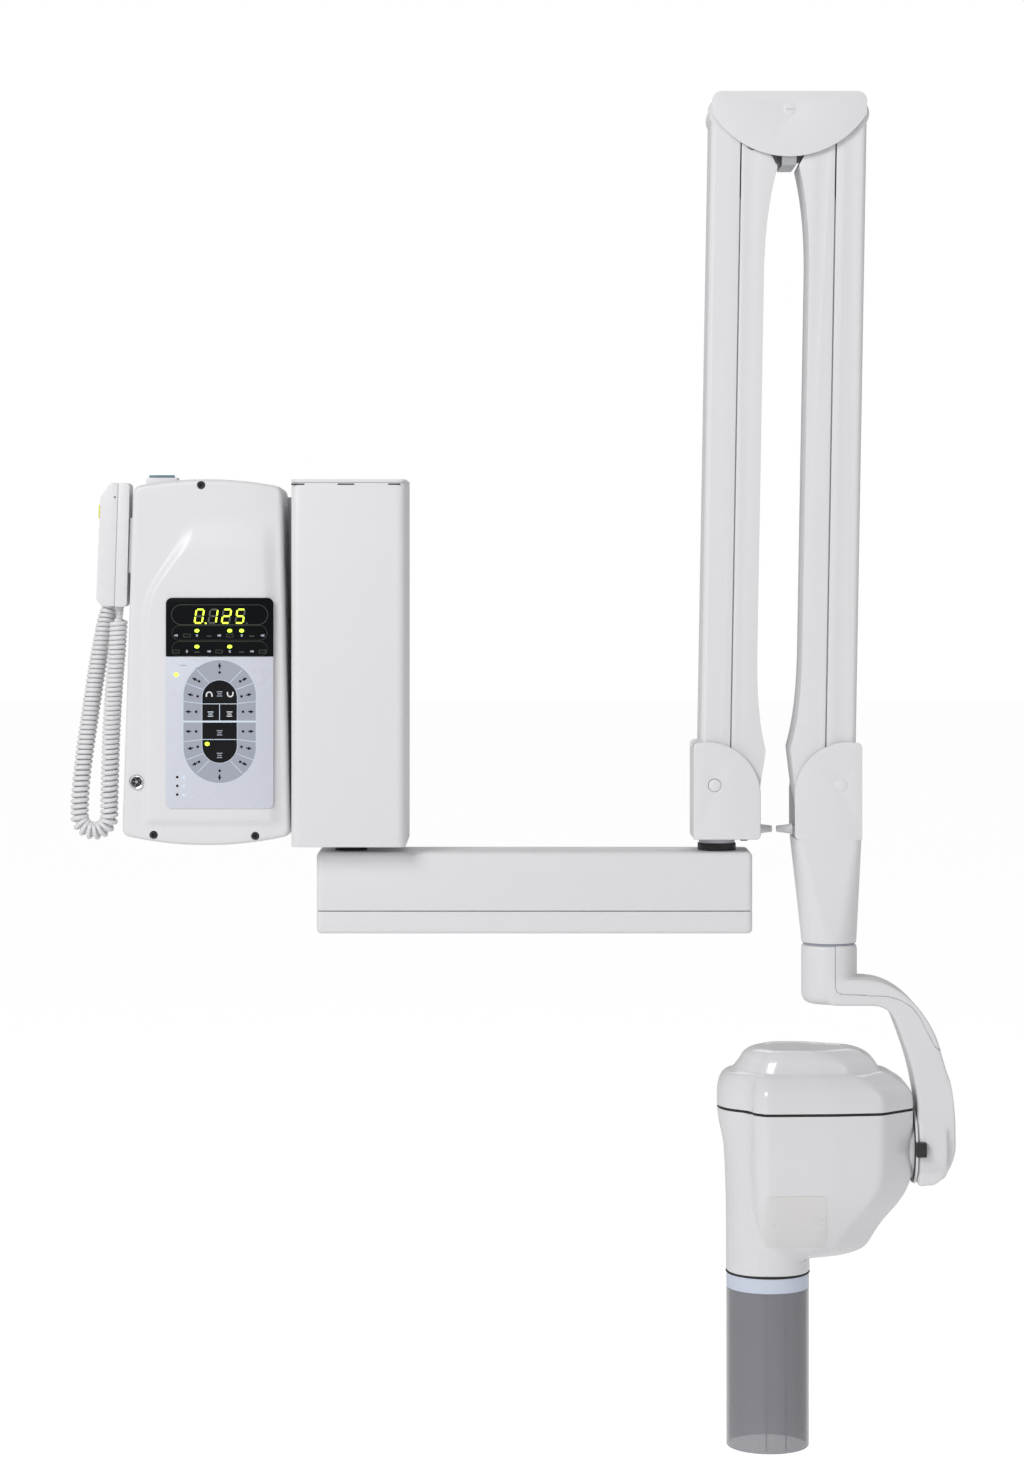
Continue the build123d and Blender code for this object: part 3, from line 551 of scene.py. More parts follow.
def head_casing():
    """Body that curves under, and a column that runs down into the neck of the cone.

    Levels: depth under the seam, then the same distances as the cover's tiers.
    """
    seam, neck = place_of("tubehead_casing")[1][2], place_of("tubehead_casing")[0][2]
    (cone_x, _, _), cone_r, _ = upright("cone_tube")
    neck_r = cone_r + 0.4
    levels = [
        (0, 0, 26, 175.8, 64, 42), (3, 0.3, 26, 175.8, 64, 42), (12, 1.4, 26.1, 175.8, 63.8, 41.6),
        (22, 3.2, 26.2, 175.8, 63.5, 41), (30, 4.8, 26.4, 175.8, 63.1, 40.4),
        (42, 5.6, 26.6, 175.8, 62.2, 39.8), (56, 6.2, 27, 174.6, 60.8, 39.2),
        (66, 6.4, 27.6, 171.8, 59.4, 38.8), (75, 6.6, 28.2, 167.2, 57.8, 38.4),
        (84, 6.8, 29.2, 160.6, 55.8, 38.2), (93, 7, 30.6, 152.6, 53, 38),
        (102, 7.1, 32.2, 145.6, 49.6, 37.9), (111, 7.2, 34.2, 140, 45.6, 37.8),
        (118, 7.2, 36.4, 135.8, 41.8, 37.8), (123, 7.2, 38.6, 130.6, 38, 37.8),
        (127, 7.2, 41.6, 121.6, 33.5, 37.8), (129.8, 7.2, 44.6, 110.6, 29, 37.8),
        (131.8, 7.2, 47.6, 97.6, 24, 37.8), (133, 7.2, 51.6, 84.6, 18, 37.8),
    ]
    rings = []
    stretch = (seam - neck - 11.5) / levels[-1][0]
    for down, xl, xa, xr, deep, column in levels:
        down *= stretch
        t = smooth(0, 112, down)
        side = COLUMN_END + (cone_x + neck_r - COLUMN_END) * t
        xl += (cone_x - neck_r - HEAD_LEFT - xl) * t
        column += (neck_r - column) * t
        rings.append(head_ring(seam - down, xl, xa, xr, deep, column, side, 5))
    for down, chamfer in ((138, 0), (141.5, 0), (seam - neck - 1.2, 0), (seam - neck, 0.9)):
        edge = neck_r - chamfer
        pillar = column_plan(cone_x - edge, cone_x + edge, edge)
        rings.append([seam - down] + [reach(pillar, *way) for way in WAYS])
    ring_stack("head_casing", rings, 3, "tubehead_casing")


def hub_seat():
    """Round boss on the casing, the friction ring on it and the flange that turns against the yoke."""
    disc = "goniometer_disc"
    low, high = place_of(disc)
    _, middle, tilt_z = middle_of(disc)
    radius, wide, bore = (high[2] - low[2]) / 2, high[0] - low[0], 9.4
    flange = radius + 1.2
    boss = [(2, -22), (radius - 4.4, -22), (radius - 3.4, -2), (radius - 3.6, 0), (2, 0)]
    rim = [(bore, 1.0), (flange - 0.8, 1.0), (flange, 1.8), (flange, wide - 0.2), (bore, wide - 0.2),
           (bore, 1.0)]
    ring = [(bore, 0), (flange - 1.4, 0), (flange - 1.1, 0.3), (flange - 1.1, 0.9), (bore, 0.9), (bore, 0)]
    centre, along = (low[0], middle, tilt_z), (1, 0, 0)
    lathe("head_boss", boss, centre, along, "tubehead_casing")
    lathe("hub_flange", rim, centre, along, disc, MATERIALS["white_plastic"], True)
    lathe("tilt_friction_ring", ring, centre, along, disc)


def neck_rings():
    """O-ring and printed band over the cone."""
    inner = 31
    for node, bulge in (("cone_seal", 0.5), ("cone_label_ring", 0.35)):
        centre, radius, tall = upright(node)
        profile = [(inner, 0), (radius - bulge, 0), (radius, bulge), (radius, tall - bulge),
                   (radius - bulge, tall), (inner, tall), (inner, 0)]
        lathe(node + "_turned", profile, centre, (0, 0, 1), node, instead=True)


def cone():
    """Open round tube with rolled edges and two faint mould lines."""
    centre, radius, tall = upright("cone_tube")
    inner, roll = radius - 2.4, 0.8
    profile = [(inner, roll), (inner + roll, 0), (radius - roll, 0), (radius, roll), (radius, tall),
               (inner, tall), (inner, roll)]
    lathe("cone_shell", profile, centre, (0, 0, 1), "cone_tube", instead=True, steps=96)
    points, faces = [], []
    for turn in (-96, -68):
        a = math.radians(turn)
        out = Vector((math.cos(a), math.sin(a), 0))
        side = Vector((-math.sin(a), math.cos(a), 0)) * 0.45
        first = len(points)
        for step in (3, tall - 0.3):
            for lift, sign in ((-0.4, -1), (-0.4, 1), (0.1, 1), (0.1, -1)):
                points.append(Vector(centre) + out * (radius + lift) + side * sign + Vector((0, 0, step)))
        faces += [[first + i for i in face] for face in band(2, 4)]
    add_piece("cone_mould_lines", points, faces, "cone_tube")


# ---------- yoke
def yoke():
    """Stub and swept arm in one soft-edged moulding, with a cable cover let into its outer side and a thin
    grey strip of painted shade along the cover's seam.
    """
    shell = copy_node("yoke_shell", "yoke_body", "yoke_cover_panel")
    mend(shell)
    low, high = place_of("yoke_body")
    outer, tilt_z = high[0], middle_of("goniometer_disc")[2]
    modify(shell, "REMESH", mode="VOXEL", voxel_size=1.25 * MM)
    for vert in shell.data.vertices:
        x, z = tucked(vert.co.x / MM, vert.co.z / MM, (outer - 84, tilt_z + 6.4), (84, 146.1), 2.1)
        x, z = tucked(x, z, (outer - 34, tilt_z + 6.4), (34, -44), 2.3)
        vert.co.x, vert.co.z = x * MM, z * MM
    modify(shell, "SMOOTH", 60, factor=0.6, iterations=22)
    axis_x, seam_z = low[0] + 25.2, high[2] - 43
    seam = [
        (axis_x + 3.5, high[2] + 4), (axis_x + 3.5, seam_z + 6), (axis_x + 5, seam_z + 1.6),
        (axis_x + 9, seam_z), (outer - 62, seam_z - 2), (outer - 50, seam_z - 5.5), (outer - 40, seam_z - 12),
        (outer - 33, seam_z - 21), (outer - 27, seam_z - 33), (outer - 19, seam_z - 48),
        (outer - 6, seam_z - 57),
    ]
    beyond = [(outer + 30, seam_z - 66), (outer + 30, high[2] + 4)]
    # Thin grey strip along the seam, lifted a little above the cover: painted shade where the gap between
    # cover and shell falls dark.
    seam_shade_outline = seam + [(x + 0.45, z + 0.45) for x, z in seam[::-1]]
    cover = raised_part(shell, "yoke_cable_cover", seam + beyond, 0.35, MATERIALS["white_plastic"])
    line = raised_part(shell, "yoke_seam_line", seam_shade_outline, 0.42, PRINT["grey"])
    for obj in (shell, cover):
        shade(obj, 40)
    attach(shell, "yoke_body", True)
    attach(cover, "yoke_cover_panel", True)
    attach(line, "yoke_cover_panel")
    latch(axis_x + 15.5, seam_z + 24)


def tucked(x, z, centre, reaches, power):
    """Pull a point outside a superellipse back onto it, in the quarter that the reaches point into."""
    across, up = (x - centre[0]) / reaches[0], (z - centre[1]) / reaches[1]
    if across <= 0 or up <= 0:
        return x, z
    far = max(1.0, (across ** power + up ** power) ** (1 / power))
    return centre[0] + (x - centre[0]) / far, centre[1] + (z - centre[1]) / far


def raised_part(shell, name, outline, height, material):
    """What lies inside an (x, z) outline, cut out of the yoke's shell and lifted a little."""
    low, high = place_of("yoke_body")
    part = link(name, shell.data.copy())
    trim(part, outline, low[1] - 20, high[1] + 20, "INTERSECT")
    modify(part, "DISPLACE", mid_level=0, strength=height * MM)
    part.data.materials.clear()
    part.data.materials.append(material)
    return part


def yoke_seal():
    """Soft lip seal between the upper casting and the yoke."""
    centre, radius, tall = upright("yoke_seal")
    inner, lip = radius - 6, radius - 1.2
    profile = [(inner, 0), (lip, 0), (radius - 0.6, tall / 2), (lip, tall), (inner, tall), (inner, 0)]
    lathe("yoke_lip_seal", profile, centre, (0, 0, 1), "yoke_seal", PRINT["grey"], True)


def latch(x, z):
    """Small raised thumb mark of the cable cover, wrapped round the yoke's stub."""
    middle, stub_r, off_axis = middle_of("yoke_seal")[1], 25.0, 15.5

    def place(u, v):
        across = 11 * u - 5.5
        base = middle - math.sqrt(max(stub_r ** 2 - (across + off_axis) ** 2, 0))
        bump = 1.3 * math.sin(math.pi * u) * math.sin(math.pi * v) ** 0.7
        return x + across, base - bump + 0.25, z - 1.8 + 3.6 * v + 1.2 * u

    add_film("cover_latch", 14, 8, place, "yoke_cover_panel", 0.8)


# ---------- control box
def inset_from_edge(x, z, low, high):
    """Distance inside the box outline and the direction that leads further in.

    The outline has two leaning sides, a crown and a foot of the same flat arc, and four round corners.
    """
    arc_x, arc_r, corner = -130, 330.0, 6.0
    sides = []
    for inner, turned, lean, start in ((x - low[0], 1, 1.81, 8), (high[0] - x, -1, 1.35, 6)):
        c, s = math.cos(math.radians(lean)), math.sin(math.radians(lean))
        sides.append((inner * c - (z - low[2] - start) * s, (turned * c, -s)))
    ends = []
    for to_centre in (Vector((x - arc_x, z - high[2] + arc_r)), Vector((x - arc_x, z - low[2] - arc_r))):
        ends.append((arc_r - to_centre.length, tuple(-to_centre.normalized())))
    du, nu = min(sides)
    dv, nv = min(ends)
    if du < corner and dv < corner:
        a, b = corner - du, corner - dv
        size = max(math.hypot(a, b), 1e-6)
        return corner - size, (Vector(nu) * a + Vector(nv) * b) / size
    return (du, Vector(nu)) if du < dv else (dv, Vector(nv))


def panel_lift(x, z, low, high):
    """Height of the raised centre panel, which narrows in an S curve towards the top."""
    bend = smooth(36, 124, z)
    left = -188.5 + 34 * bend ** 1.35
    crest = 128 - 0.0022 * (x + 105) ** 2
    right = high[0] - 5 + (z - low[2]) * -0.0236
    rise = smooth(0, 6 + 8 * bend, x - left) * smooth(-6, 30, crest - z)
    return rise * smooth(0, 14, right - x) * smooth(0, 10, z + 151)


def front_cover():
    """Moulded front: rolled edges, raised panel with soft creases, openings for screws, socket and switch."""
    low, high = place_of("control_front_cover")
    box_low, box_high = place_of("control_rear_housing")
    tall, roll, pitch = 4, 4.2, 1.2
    face_y = low[1] + tall
    columns, rows = int((high[0] - low[0]) / pitch) + 2, int((high[2] - low[2]) / pitch) + 2
    points, inside = [], []
    for r in range(rows + 1):
        for c in range(columns + 1):
            x, z = low[0] - pitch / 2 + c * pitch, low[2] - pitch / 2 + r * pitch
            depth, inward = inset_from_edge(x, z, box_low, box_high)
            inside.append(depth > 0)
            if depth < 0.25:
                x, z = x - inward[0] * depth, z - inward[1] * depth
                depth = 0.0
            curl = max(0.0, roll - depth)
            lift = tall * panel_lift(x, z, box_low, box_high)
            points.append((x, face_y + roll - math.sqrt(roll * roll - curl * curl) - lift, z))
    faces = [quad for quad in grid(columns, rows) if any(inside[q] for q in quad)]
    obj = add_piece("front_cover", points, faces, "control_front_cover", instead=True, degrees=60)
    draw_rim_back(obj, high[1])
    modify(obj, "SOLIDIFY", 45, thickness=2.6 * MM, offset=-1)
    for x, z, radius in screw_places() + [socket_place()]:
        trim(obj, circle(x, z, radius), face_y - 12, face_y + 9)
    slot_low, slot_high = place_of("power_switch_bezel")
    slot = rectangle(slot_low[0] - 0.2, slot_low[2] - 9, slot_high[0] + 0.2, slot_high[2] + 9)
    trim(obj, slot, slot_low[1] - 0.2, slot_high[1] + 0.2)
    shade(obj, 45)


def draw_rim_back(obj, y):
    """Side wall from the open rim of a sheet back to one depth, with all faces turned outwards."""
    work = bmesh.new()
    work.from_mesh(obj.data)
    bmesh.ops.delete(work, geom=[v for v in work.verts if not v.link_faces], context="VERTS")
    drawn = bmesh.ops.extrude_edge_only(work, edges=[e for e in work.edges if e.is_boundary])["geom"]
    for vert in (g for g in drawn if isinstance(g, bmesh.types.BMVert)):
        vert.co.y = y * MM
    bmesh.ops.recalc_face_normals(work, faces=work.faces)
    front = max(work.faces, key=lambda f: f.calc_area() if abs(f.normal.y) > 0.9 else 0)
    if front.normal.y > 0:
        bmesh.ops.reverse_faces(work, faces=work.faces)
    work.to_mesh(obj.data)
    work.free()


def screw_places():
    """Centre and recess radius of each screw. They sit closer to the rolled edge than the frame's holes."""
    groups = []
    for vert in frame["nodes"]["cover_screws"].data.vertices:
        near = [g for g in groups if (g[0] - vert.co).length < 20 * MM]
        if near:
            near[0].append(vert.co)
        else:
            groups.append([vert.co])
    places = []
    for points in groups:
        x, z = ((min(p[axis] for p in points) + max(p[axis] for p in points)) / 2 / MM for axis in (0, 2))
        places.append((x, z + math.copysign(2.6, z), 4.0))
    return places


def socket_place():
    _, radius, _ = upright("remote_socket")
    x, _, z = middle_of("remote_socket")
    return x, z, radius - 0.7


def cover_hardware():
    """Recessed screws, hollow in the middle, and the round socket with pins for a remote switch."""
    start, along = place_of("cover_screws")[0][1] - 1.2, (0, 1, 0)
    screw = [(0.5, 3.0), (1.6, 3.0), (1.6, 0.6), (2.9, 0.5), (3.3, 1.0), (3.3, 8), (0.5, 8)]
    for number, (x, z, radius) in enumerate(screw_places()):
        edge = radius - 0.1
        collar = [(edge, 5.6), (edge, 1.4), (radius - 0.5, 1.2), (3.35, 5.2), (edge, 5.6)]
        lathe(f"cover_screw_{number}", screw, (x, start, z), along, "cover_screws", instead=True, steps=36)
        lathe(f"screw_well_{number}", collar, (x, start + 0.2, z), along, "control_front_cover", steps=36)
    node = "remote_socket"
    x, z, _ = socket_place()
    start = place_of(node)[0][1] - 0.4
    rim = [(4.5, 3.4), (4.5, 1.2), (5.1, 0.4), (5.9, 0.1), (6.6, 0.6), (7.0, 1.6), (7.0, 3.4), (4.5, 3.4)]
    cup = [(0.3, 2.6), (4.45, 2.6), (4.45, 9), (0.3, 9)]
    pin = [(0.2, 1.3), (0.45, 1.5), (0.55, 3.4), (0.2, 3.4)]
    hub = [(0.3, 1.6), (1.3, 1.6), (1.6, 2.0), (1.6, 3.4), (0.3, 3.4)]
    lathe("socket_ring", rim, (x, start, z), along, node, instead=True)
    lathe("socket_cup", cup, (x, start, z), along, node, MATERIALS["black_plastic"])
    for number in range(5):
        a = math.radians(30 + 72 * number)
        place = (x + 2.9 * math.cos(a), start, z + 2.9 * math.sin(a))
        lathe(f"socket_pin_{number}", pin, place, along, node, steps=14)
    lathe("socket_hub", hub, (x, start, z), along, node, steps=28)


# ---------- keypad
class Sheet:
    """Flat prints on the keypad, collected by colour. Places count from the centre of the key ring."""

    def __init__(self, centre_x, centre_z, face_y):
        self.centre_x, self.centre_z, self.face_y = centre_x, centre_z, face_y
        self.prints = {}

    def put(self, kind, outline, layer=1):
        points, faces = self.prints.setdefault(kind, ([], []))
        first = len(points)
        moved = [(self.centre_x + x, self.centre_z + z) for x, z in outline]
        new_points, new_faces = prism(moved, self.face_y - 0.06 * layer, self.face_y)
        points += new_points
        faces += [[first + i for i in face] for face in new_faces]

    def dot(self, kind, x, z, radius, layer=1, tall=None, steps=16):
        self.put(kind, circle(x, z, radius, tall, steps), layer)

    def strip(self, kind, a, b, width, layer=1):
        a, b = Vector(a), Vector(b)
        side = Vector((-(b - a).y, (b - a).x)).normalized() * width / 2
        self.put(kind, [a + side, b + side, b - side, a - side], layer)

    def path(self, kind, line, width, layer=1):
        for a, b in zip(line, line[1:]):
            self.strip(kind, a, b, width, layer)

    def loop(self, kind, outline, width, layer=1):
        self.path(kind, outline + outline[:1], width, layer)

    def finish(self, node):
        for kind, (points, faces) in self.prints.items():
            add_piece(f"print_{kind}", points, faces, node, PRINT[kind], degrees=20)


def stadium(half_w, half_h, z=0.0, steps=48):
    """Oblong with round ends."""
    radius = min(half_w, half_h)
    return [(math.copysign(half_w - radius, c) + radius * c,
             z + math.copysign(half_h - radius, s) + radius * s) for c, s in turns(steps, 0.5)]


SEGMENTS = {"a": ((-1, 2), (1, 2)), "b": ((1, 2), (1, 0)), "c": ((1, 0), (1, -2)), "d": ((-1, -2), (1, -2)),
            "e": ((-1, 0), (-1, -2)), "f": ((-1, 2), (-1, 0)), "g": ((-1, 0), (1, 0))}
DIGITS = {"0": "abcdef", "1": "bc", "2": "abged", "5": "afgcd"}


def digit(sheet, shown, x, z):
    half_w, step, slant, thick = 3.4, 3.05, 0.16, 1.5
    for key, ends in SEGMENTS.items():
        a, b = (Vector((px * half_w + slant * pz * step, pz * step)) for px, pz in ends)
        along = (b - a).normalized() * 0.95
        a, b = a + along, b - along
        side = Vector((-along.y, along.x)).normalized() * thick / 2
        tip = along.normalized() * 0.55
        corners = [a - tip, a + side, b + side, b + tip, b - side, a - side]
        kind = "lime" if key in DIGITS[shown] else "ghost"
        sheet.put(kind, [(x + p.x, z + p.y) for p in corners], 2 if kind == "lime" else 1)


def display(sheet):
    """Timer digits, decimal point, lamps and two rows of plain marks in their fields."""
    sheet.loop("ghost", stadium(43.5, 9.0, 96.5), 0.35)
    for shown, x in zip("0125", (-18.4, -5.9, 6.2, 18.6)):
        digit(sheet, shown, x, 95.2)
    sheet.dot("lime", -12.6, 88.9, 0.85, 2, steps=14)
    sheet.dot("ghost", 24.6, 88.9, 0.7, 2, steps=14)
    for x, z in ((-20.5, 82.1), (9.1, 82.1), (19.9, 82.1), (-20.5, 67.7), (9.1, 67.7)):
        sheet.dot("lamp", x, z, 2.2, 2, tall=1.6, steps=28)
    for first, row in enumerate((77.8, 63.4)):
        for number, x in enumerate((-39.4, -29.5, -20.4, -9.6, -0.4, 9.2, 20.0, 29.2, 38.8)):
            mark(sheet, first + number, x, row)
        sheet.loop("ghost", stadium(43.0, 6.6, row + 2.3), 0.2)


def mark(sheet, number, x, z):
    """Small plain symbols: wedge, box, dot and bar in turn."""
    style = number % 4
    if style == 0:
        sheet.put("grey", [(x - 1.6, z - 0.6), (x + 1.6, z - 1.1), (x + 1.6, z + 1.1), (x - 1.6, z + 0.6)], 2)
    elif style == 1:
        sheet.loop("ghost", rectangle(x - 3, z - 1.4, x + 3, z + 1.2), 0.35, 2)
    elif style == 2:
        sheet.dot("grey", x, z, 0.9, 2, tall=1.4, steps=12)
    else:
        sheet.strip("ghost", (x - 2.2, z - 0.6), (x + 2.2, z - 0.6), 0.7, 2)


def key_ring(sheet):
    """Ring of selector keys round a dark centre, split by pale lines, each with an arrow and a dot."""
    outer_w, outer_h, inner_w, inner_h = 32.8, 55.6, 15.7, 37.4
    sheet.put("line", stadium(outer_w + 0.5, outer_h + 0.5), 1)
    sheet.put("grey", stadium(outer_w, outer_h), 2)
    sheet.put("line", stadium(inner_w + 0.45, inner_h + 0.45), 3)
    sheet.put("black", stadium(inner_w, inner_h), 4)
    spokes = (((-9.6, 35.4), (-20.6, 46.8)), ((-14.9, 28.9), (-30.1, 34.6)), ((-15.7, 16.2), (-33.0, 18.3)))
    keys = (((-18.6, 36.4), (-22.6, 38.4)), ((-19.8, 22.8), (-26.6, 24.3)), ((-21.2, 8.9), (-28.4, 8.9)))
    for sx in (-1, 1):
        for sz in (-1, 1):
            for near, far in spokes:
                sheet.strip("line", (near[0] * sx, near[1] * sz), (far[0] * sx, far[1] * sz), 0.55, 3)
            for dot, arrow in keys:
                arrow_and_dot(sheet, (dot[0] * sx, dot[1] * sz), (arrow[0] * sx, arrow[1] * sz))
    for sz in (-1, 1):
        arrow_and_dot(sheet, (0, 44.4 * sz), (0, 50.6 * sz))
    sheet.strip("line", (-outer_w - 0.5, 0), (outer_w + 0.5, 0), 1.7, 5)
    for z in (16, -16.2):
        sheet.strip("line", (-inner_w, z), (inner_w, z), 0.6, 5)
    sheet.strip("line", (0, 0.8), (0, 16), 0.6, 5)


def arrow_and_dot(sheet, dot, arrow):
    sheet.dot("black", *dot, 1.2, 4)
    here = Vector(arrow)
    out = (here - Vector(dot)).normalized()
    side = Vector((-out.y, out.x))
    tip, base, tail = here + out * 2.7, here - out * 0.9, here - out * 2.7
    sheet.put("black", [tip, base + side * 1.55, base - side * 1.55], 4)
    sheet.strip("black", base, tail, 1.1, 4)


def arch(sheet, x, turned):
    """Upper or lower arch as an open horseshoe."""
    z, half, steps = 24.6, 2.5, 14
    turns = [math.pi * k / steps for k in range(steps + 1)]
    line = [(x + half * math.cos(a), z + turned * (2.9 * math.sin(a) - 0.8)) for a in turns]
    foot = z - turned * 2.2
    sheet.path("white", [(x + half, foot)] + line + [(x - half, foot)], 1.25, 5)


def bars(sheet, x, z, kind="grey"):
    """Small plain stack of three bars."""
    for k, half in enumerate((2.6, 1.9, 2.4)):
        level = z + 1.9 - 1.9 * k
        sheet.strip(kind, (x - half, level), (x + half, level), 0.8, 5)


def key_panel(sheet):
    """Everything printed below the display."""
    key_ring(sheet)
    arch(sheet, -9.4, 1)
    arch(sheet, 9.6, -1)
    for x, z, kind in ((0, 25.0, "grey"), (-8.2, 6.8, "line"), (8.9, 6.8, "white"), (0, -10.2, "grey"),
                       (0, -30.6, "grey")):
        bars(sheet, x, z, kind)
    sheet.dot("lamp", -11.2, -20.2, 2.2, 5, tall=1.8, steps=28)
    sheet.dot("lamp", -39.2, 42.4, 2.1, 1, tall=1.9, steps=28)
    sheet.loop("line", [(-41, 48.2), (-20, 48.2), (-24, 53.4), (-41, 53.4)], 0.5)
    sheet.strip("grey", (-36, 50.8), (-30, 50.8), 0.7)
    for z in (-50.2, -58.1, -66.0):
        sheet.dot("black", -38.3, z, 1.2)
        sheet.dot("line", -32.4, z - 0.3, 1.7)


def flat_film(name, node, foot_first):
    """Flat film with two round corners: at its foot, or at its top."""
    low, high = place_of(node)
    corners = rectangle(low[0], low[2], high[0], high[2])
    corners = corners[3:] + corners[:3] if foot_first else corners[:1] + corners[:0:-1]
    outline = [corners[0]] + round_corner(corners[0:3]) + round_corner(corners[1:4]) + [corners[3]]
    obj = add_piece(name, *prism(outline, low[1], high[1] + 1.2), node, instead=True, degrees=25)
    round_edges(obj, 0.35, 50, 30)


def round_corner(corners, radius=5.5, steps=8):
    before, here, after = (Vector(c) for c in corners)
    start, end = here + (before - here).normalized() * radius, here + (after - here).normalized() * radius
    centre = start + end - here
    out = []
    for k in range(steps + 1):
        t = k / steps
        point = start * (1 - t) + end * t - centre
        out.append(tuple(centre + point.normalized() * radius))
    return out


def keypad():
    ring_z = -54.2
    sheet = Sheet(middle_of("keypad_overlay")[0], ring_z, place_of("keypad_overlay")[0][1])
    key_panel(sheet)
    sheet.face_y = place_of("display_window")[0][1]
    display(sheet)
    flat_film("keypad_sheet", "keypad_overlay", True)
    flat_film("display_glass", "display_window", False)
    sheet.finish("keypad_overlay")


# ---------- handset and cord
CORD_R, WIRE_R = 8.5, 2.1


def cord_line():
    """Centre line of the coiled cord: down from the handset, round a loop, up behind it and into the box."""
    low, _ = place_of("coiled_cord")
    left = low[0] + CORD_R - 3.5
    loop_r, loop_z = 13.6, low[2] + CORD_R + 13.6
    down = [(left + 37.1, -62, 36), (left + 35.7, -61.6, 12), (left + 32.9, -60, -20),
            (left + 29.9, -57, -66), (left + 28, -53, -112), (left + 2 * loop_r, -50.4, loop_z + 12)]
    turn = []
    for k in range(9):
        a = math.pi * k / 8
        turn.append((left + loop_r + loop_r * math.cos(a), -50, loop_z - loop_r * math.sin(a)))
    up = [(left + 0.6, -49.4, loop_z + 20), (left + 3.3, -48, -93), (left + 10.7, -45, -39),
          (left + 17.7, -41, 8), (left + 25.7, -34, 46), (left + 38.3, -29.5, 61), (left + 46.1, -28, 66)]
    return down, turn, up


def walk(stations, step):
    """Points at an even step along the smooth curve through the stations."""
    fine = [Vector(through(stations, k / 24)) for k in range((len(stations) - 1) * 24 + 1)]
    out, left_over = [fine[0]], 0.0
    for a, b in zip(fine, fine[1:]):
        length = (b - a).length
        while left_over + length >= step:
            part = (step - left_over) / length
            a = a + (b - a) * part
            length = (b - a).length
            left_over = 0.0
            out.append(a)
        left_over += length
    return out


def coil(line, radius, closed_pitch, open_pitch):
    """Helix round a line; the turns open up where the cord hangs low."""
    out, turn = [], 0.0
    for k, (here, side, other) in enumerate(travel(line)):
        out.append(here + side * radius * math.cos(turn) + other * radius * math.sin(turn))
        stretch = smooth(-40, -140, here.z) if here.z < -40 else 0.0
        pitch = closed_pitch + (open_pitch - closed_pitch) * stretch
        turn += 2 * math.pi * (line[min(k + 1, len(line) - 1)] - here).length / pitch
    return out


def coiled_cord():
    """Coiled wire round a thin core in two strands that part at the bottom of the loop."""
    down, turn, up = cord_line()
    line = walk(down + turn + up, 0.22)
    bottom = min(range(len(line)), key=lambda k: line[k].z)
    helix = coil(line, CORD_R - WIRE_R, 4.3, 5.2)
    made = []
    for name, first, last in (("cord_run_handset", 0, bottom + 1), ("cord_run_box", bottom, len(line))):
        points, faces = tube(helix[first:last], WIRE_R, 7)
        core_points, core_faces = tube(line[first:last:8], CORD_R - 2 * WIRE_R + 0.25, 16)
        faces += [[len(points) + i for i in face] for face in core_faces]
        obj = mesh_object(name, points + core_points, faces, MATERIALS["cord_white"])
        shade(obj, 60)
        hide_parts("coiled_cord")
        made.append(obj)
    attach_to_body(made[1], "wall_unit")
    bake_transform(made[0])


def strain_relief():
    """Ribbed sleeve where the cord leaves the handset."""
    (x, y, z), _, tall = upright("cord_strain_relief")
    ribs = 5
    profile = [(1.5, 0)]
    for k in range(ribs):
        base, radius = k * tall / ribs, 2.6 + 1.7 * k / (ribs - 1)
        profile += [(radius - 0.5, base + 0.3), (radius, base + 0.8), (radius, base + 2.0),
                    (radius - 0.5, base + 2.4)]
    profile.append((3.6, tall))
    lathe("strain_sleeve", profile, (x - 0.2, y, z), (-0.032, 0, 1), "cord_strain_relief", instead=True,
          steps=40)


def handset_dot():
    """Small dark sensor dot near the top of the handset's side."""
    node = "handset_front_shell"
    low, high = place_of(node)
    profile = [(0.2, 0), (0.8, 0), (0.9, 0.15), (0.9, 0.6), (0.2, 0.6)]
    centre = (low[0] + 17, low[1] - 0.12, high[2] - 13)
    lathe("handset_dot", profile, centre, (0, 1, 0), node, MATERIALS["black_plastic"], steps=20)


# ---------- small turned parts
def cap(name, node, x, z, radius, dome, slotted=False):
    """Low domed caps on the front and the back of an arm joint."""
    low, high = place_of(node)
    thick = 1.2
    profile = [(0.25, -dome), (0.5 * radius, -0.86 * dome), (0.8 * radius, -0.45 * dome), (radius, 0.1),
               (radius, thick), (0.25, thick)]
    made = []
    for end, face_y, side in (("front", low[1], 1), ("back", high[1], -1)):
        obj = lathe(f"{name}_{end}", profile, (x, face_y, z), (0, side, 0), node, steps=48)
        if slotted:
            slot = rectangle(x - radius * 0.62, z - 0.45, x + radius * 0.62, z + 0.45)
            trim(obj, slot, *sorted((face_y - side * 2, face_y + side * 0.3)))
        made.append(obj)
    return made


def joint_caps():
    """Caps on the pivots of both knuckles and of the elbow."""
    for node, name, radius, pivot in (("base_pivot_pins", "base_pin_cap", 5.0, "lower_arm_tilt"),
                                      ("end_pivot_pins", "end_pin_cap", 5.7, "end_knuckle_level")):
        x, _, z = next(joint["pos_m"] for joint in frame["joints"] if joint["name"] == pivot)
        cap(name, node, x / MM, z / MM, radius, 0.7)
    x, _, z = middle_of("elbow_cap_screws")
    front, _ = cap("elbow_screw", "elbow_cap_screws", x, z, 5.6, 0.5, slotted=True)
    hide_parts("elbow_cap_screws")


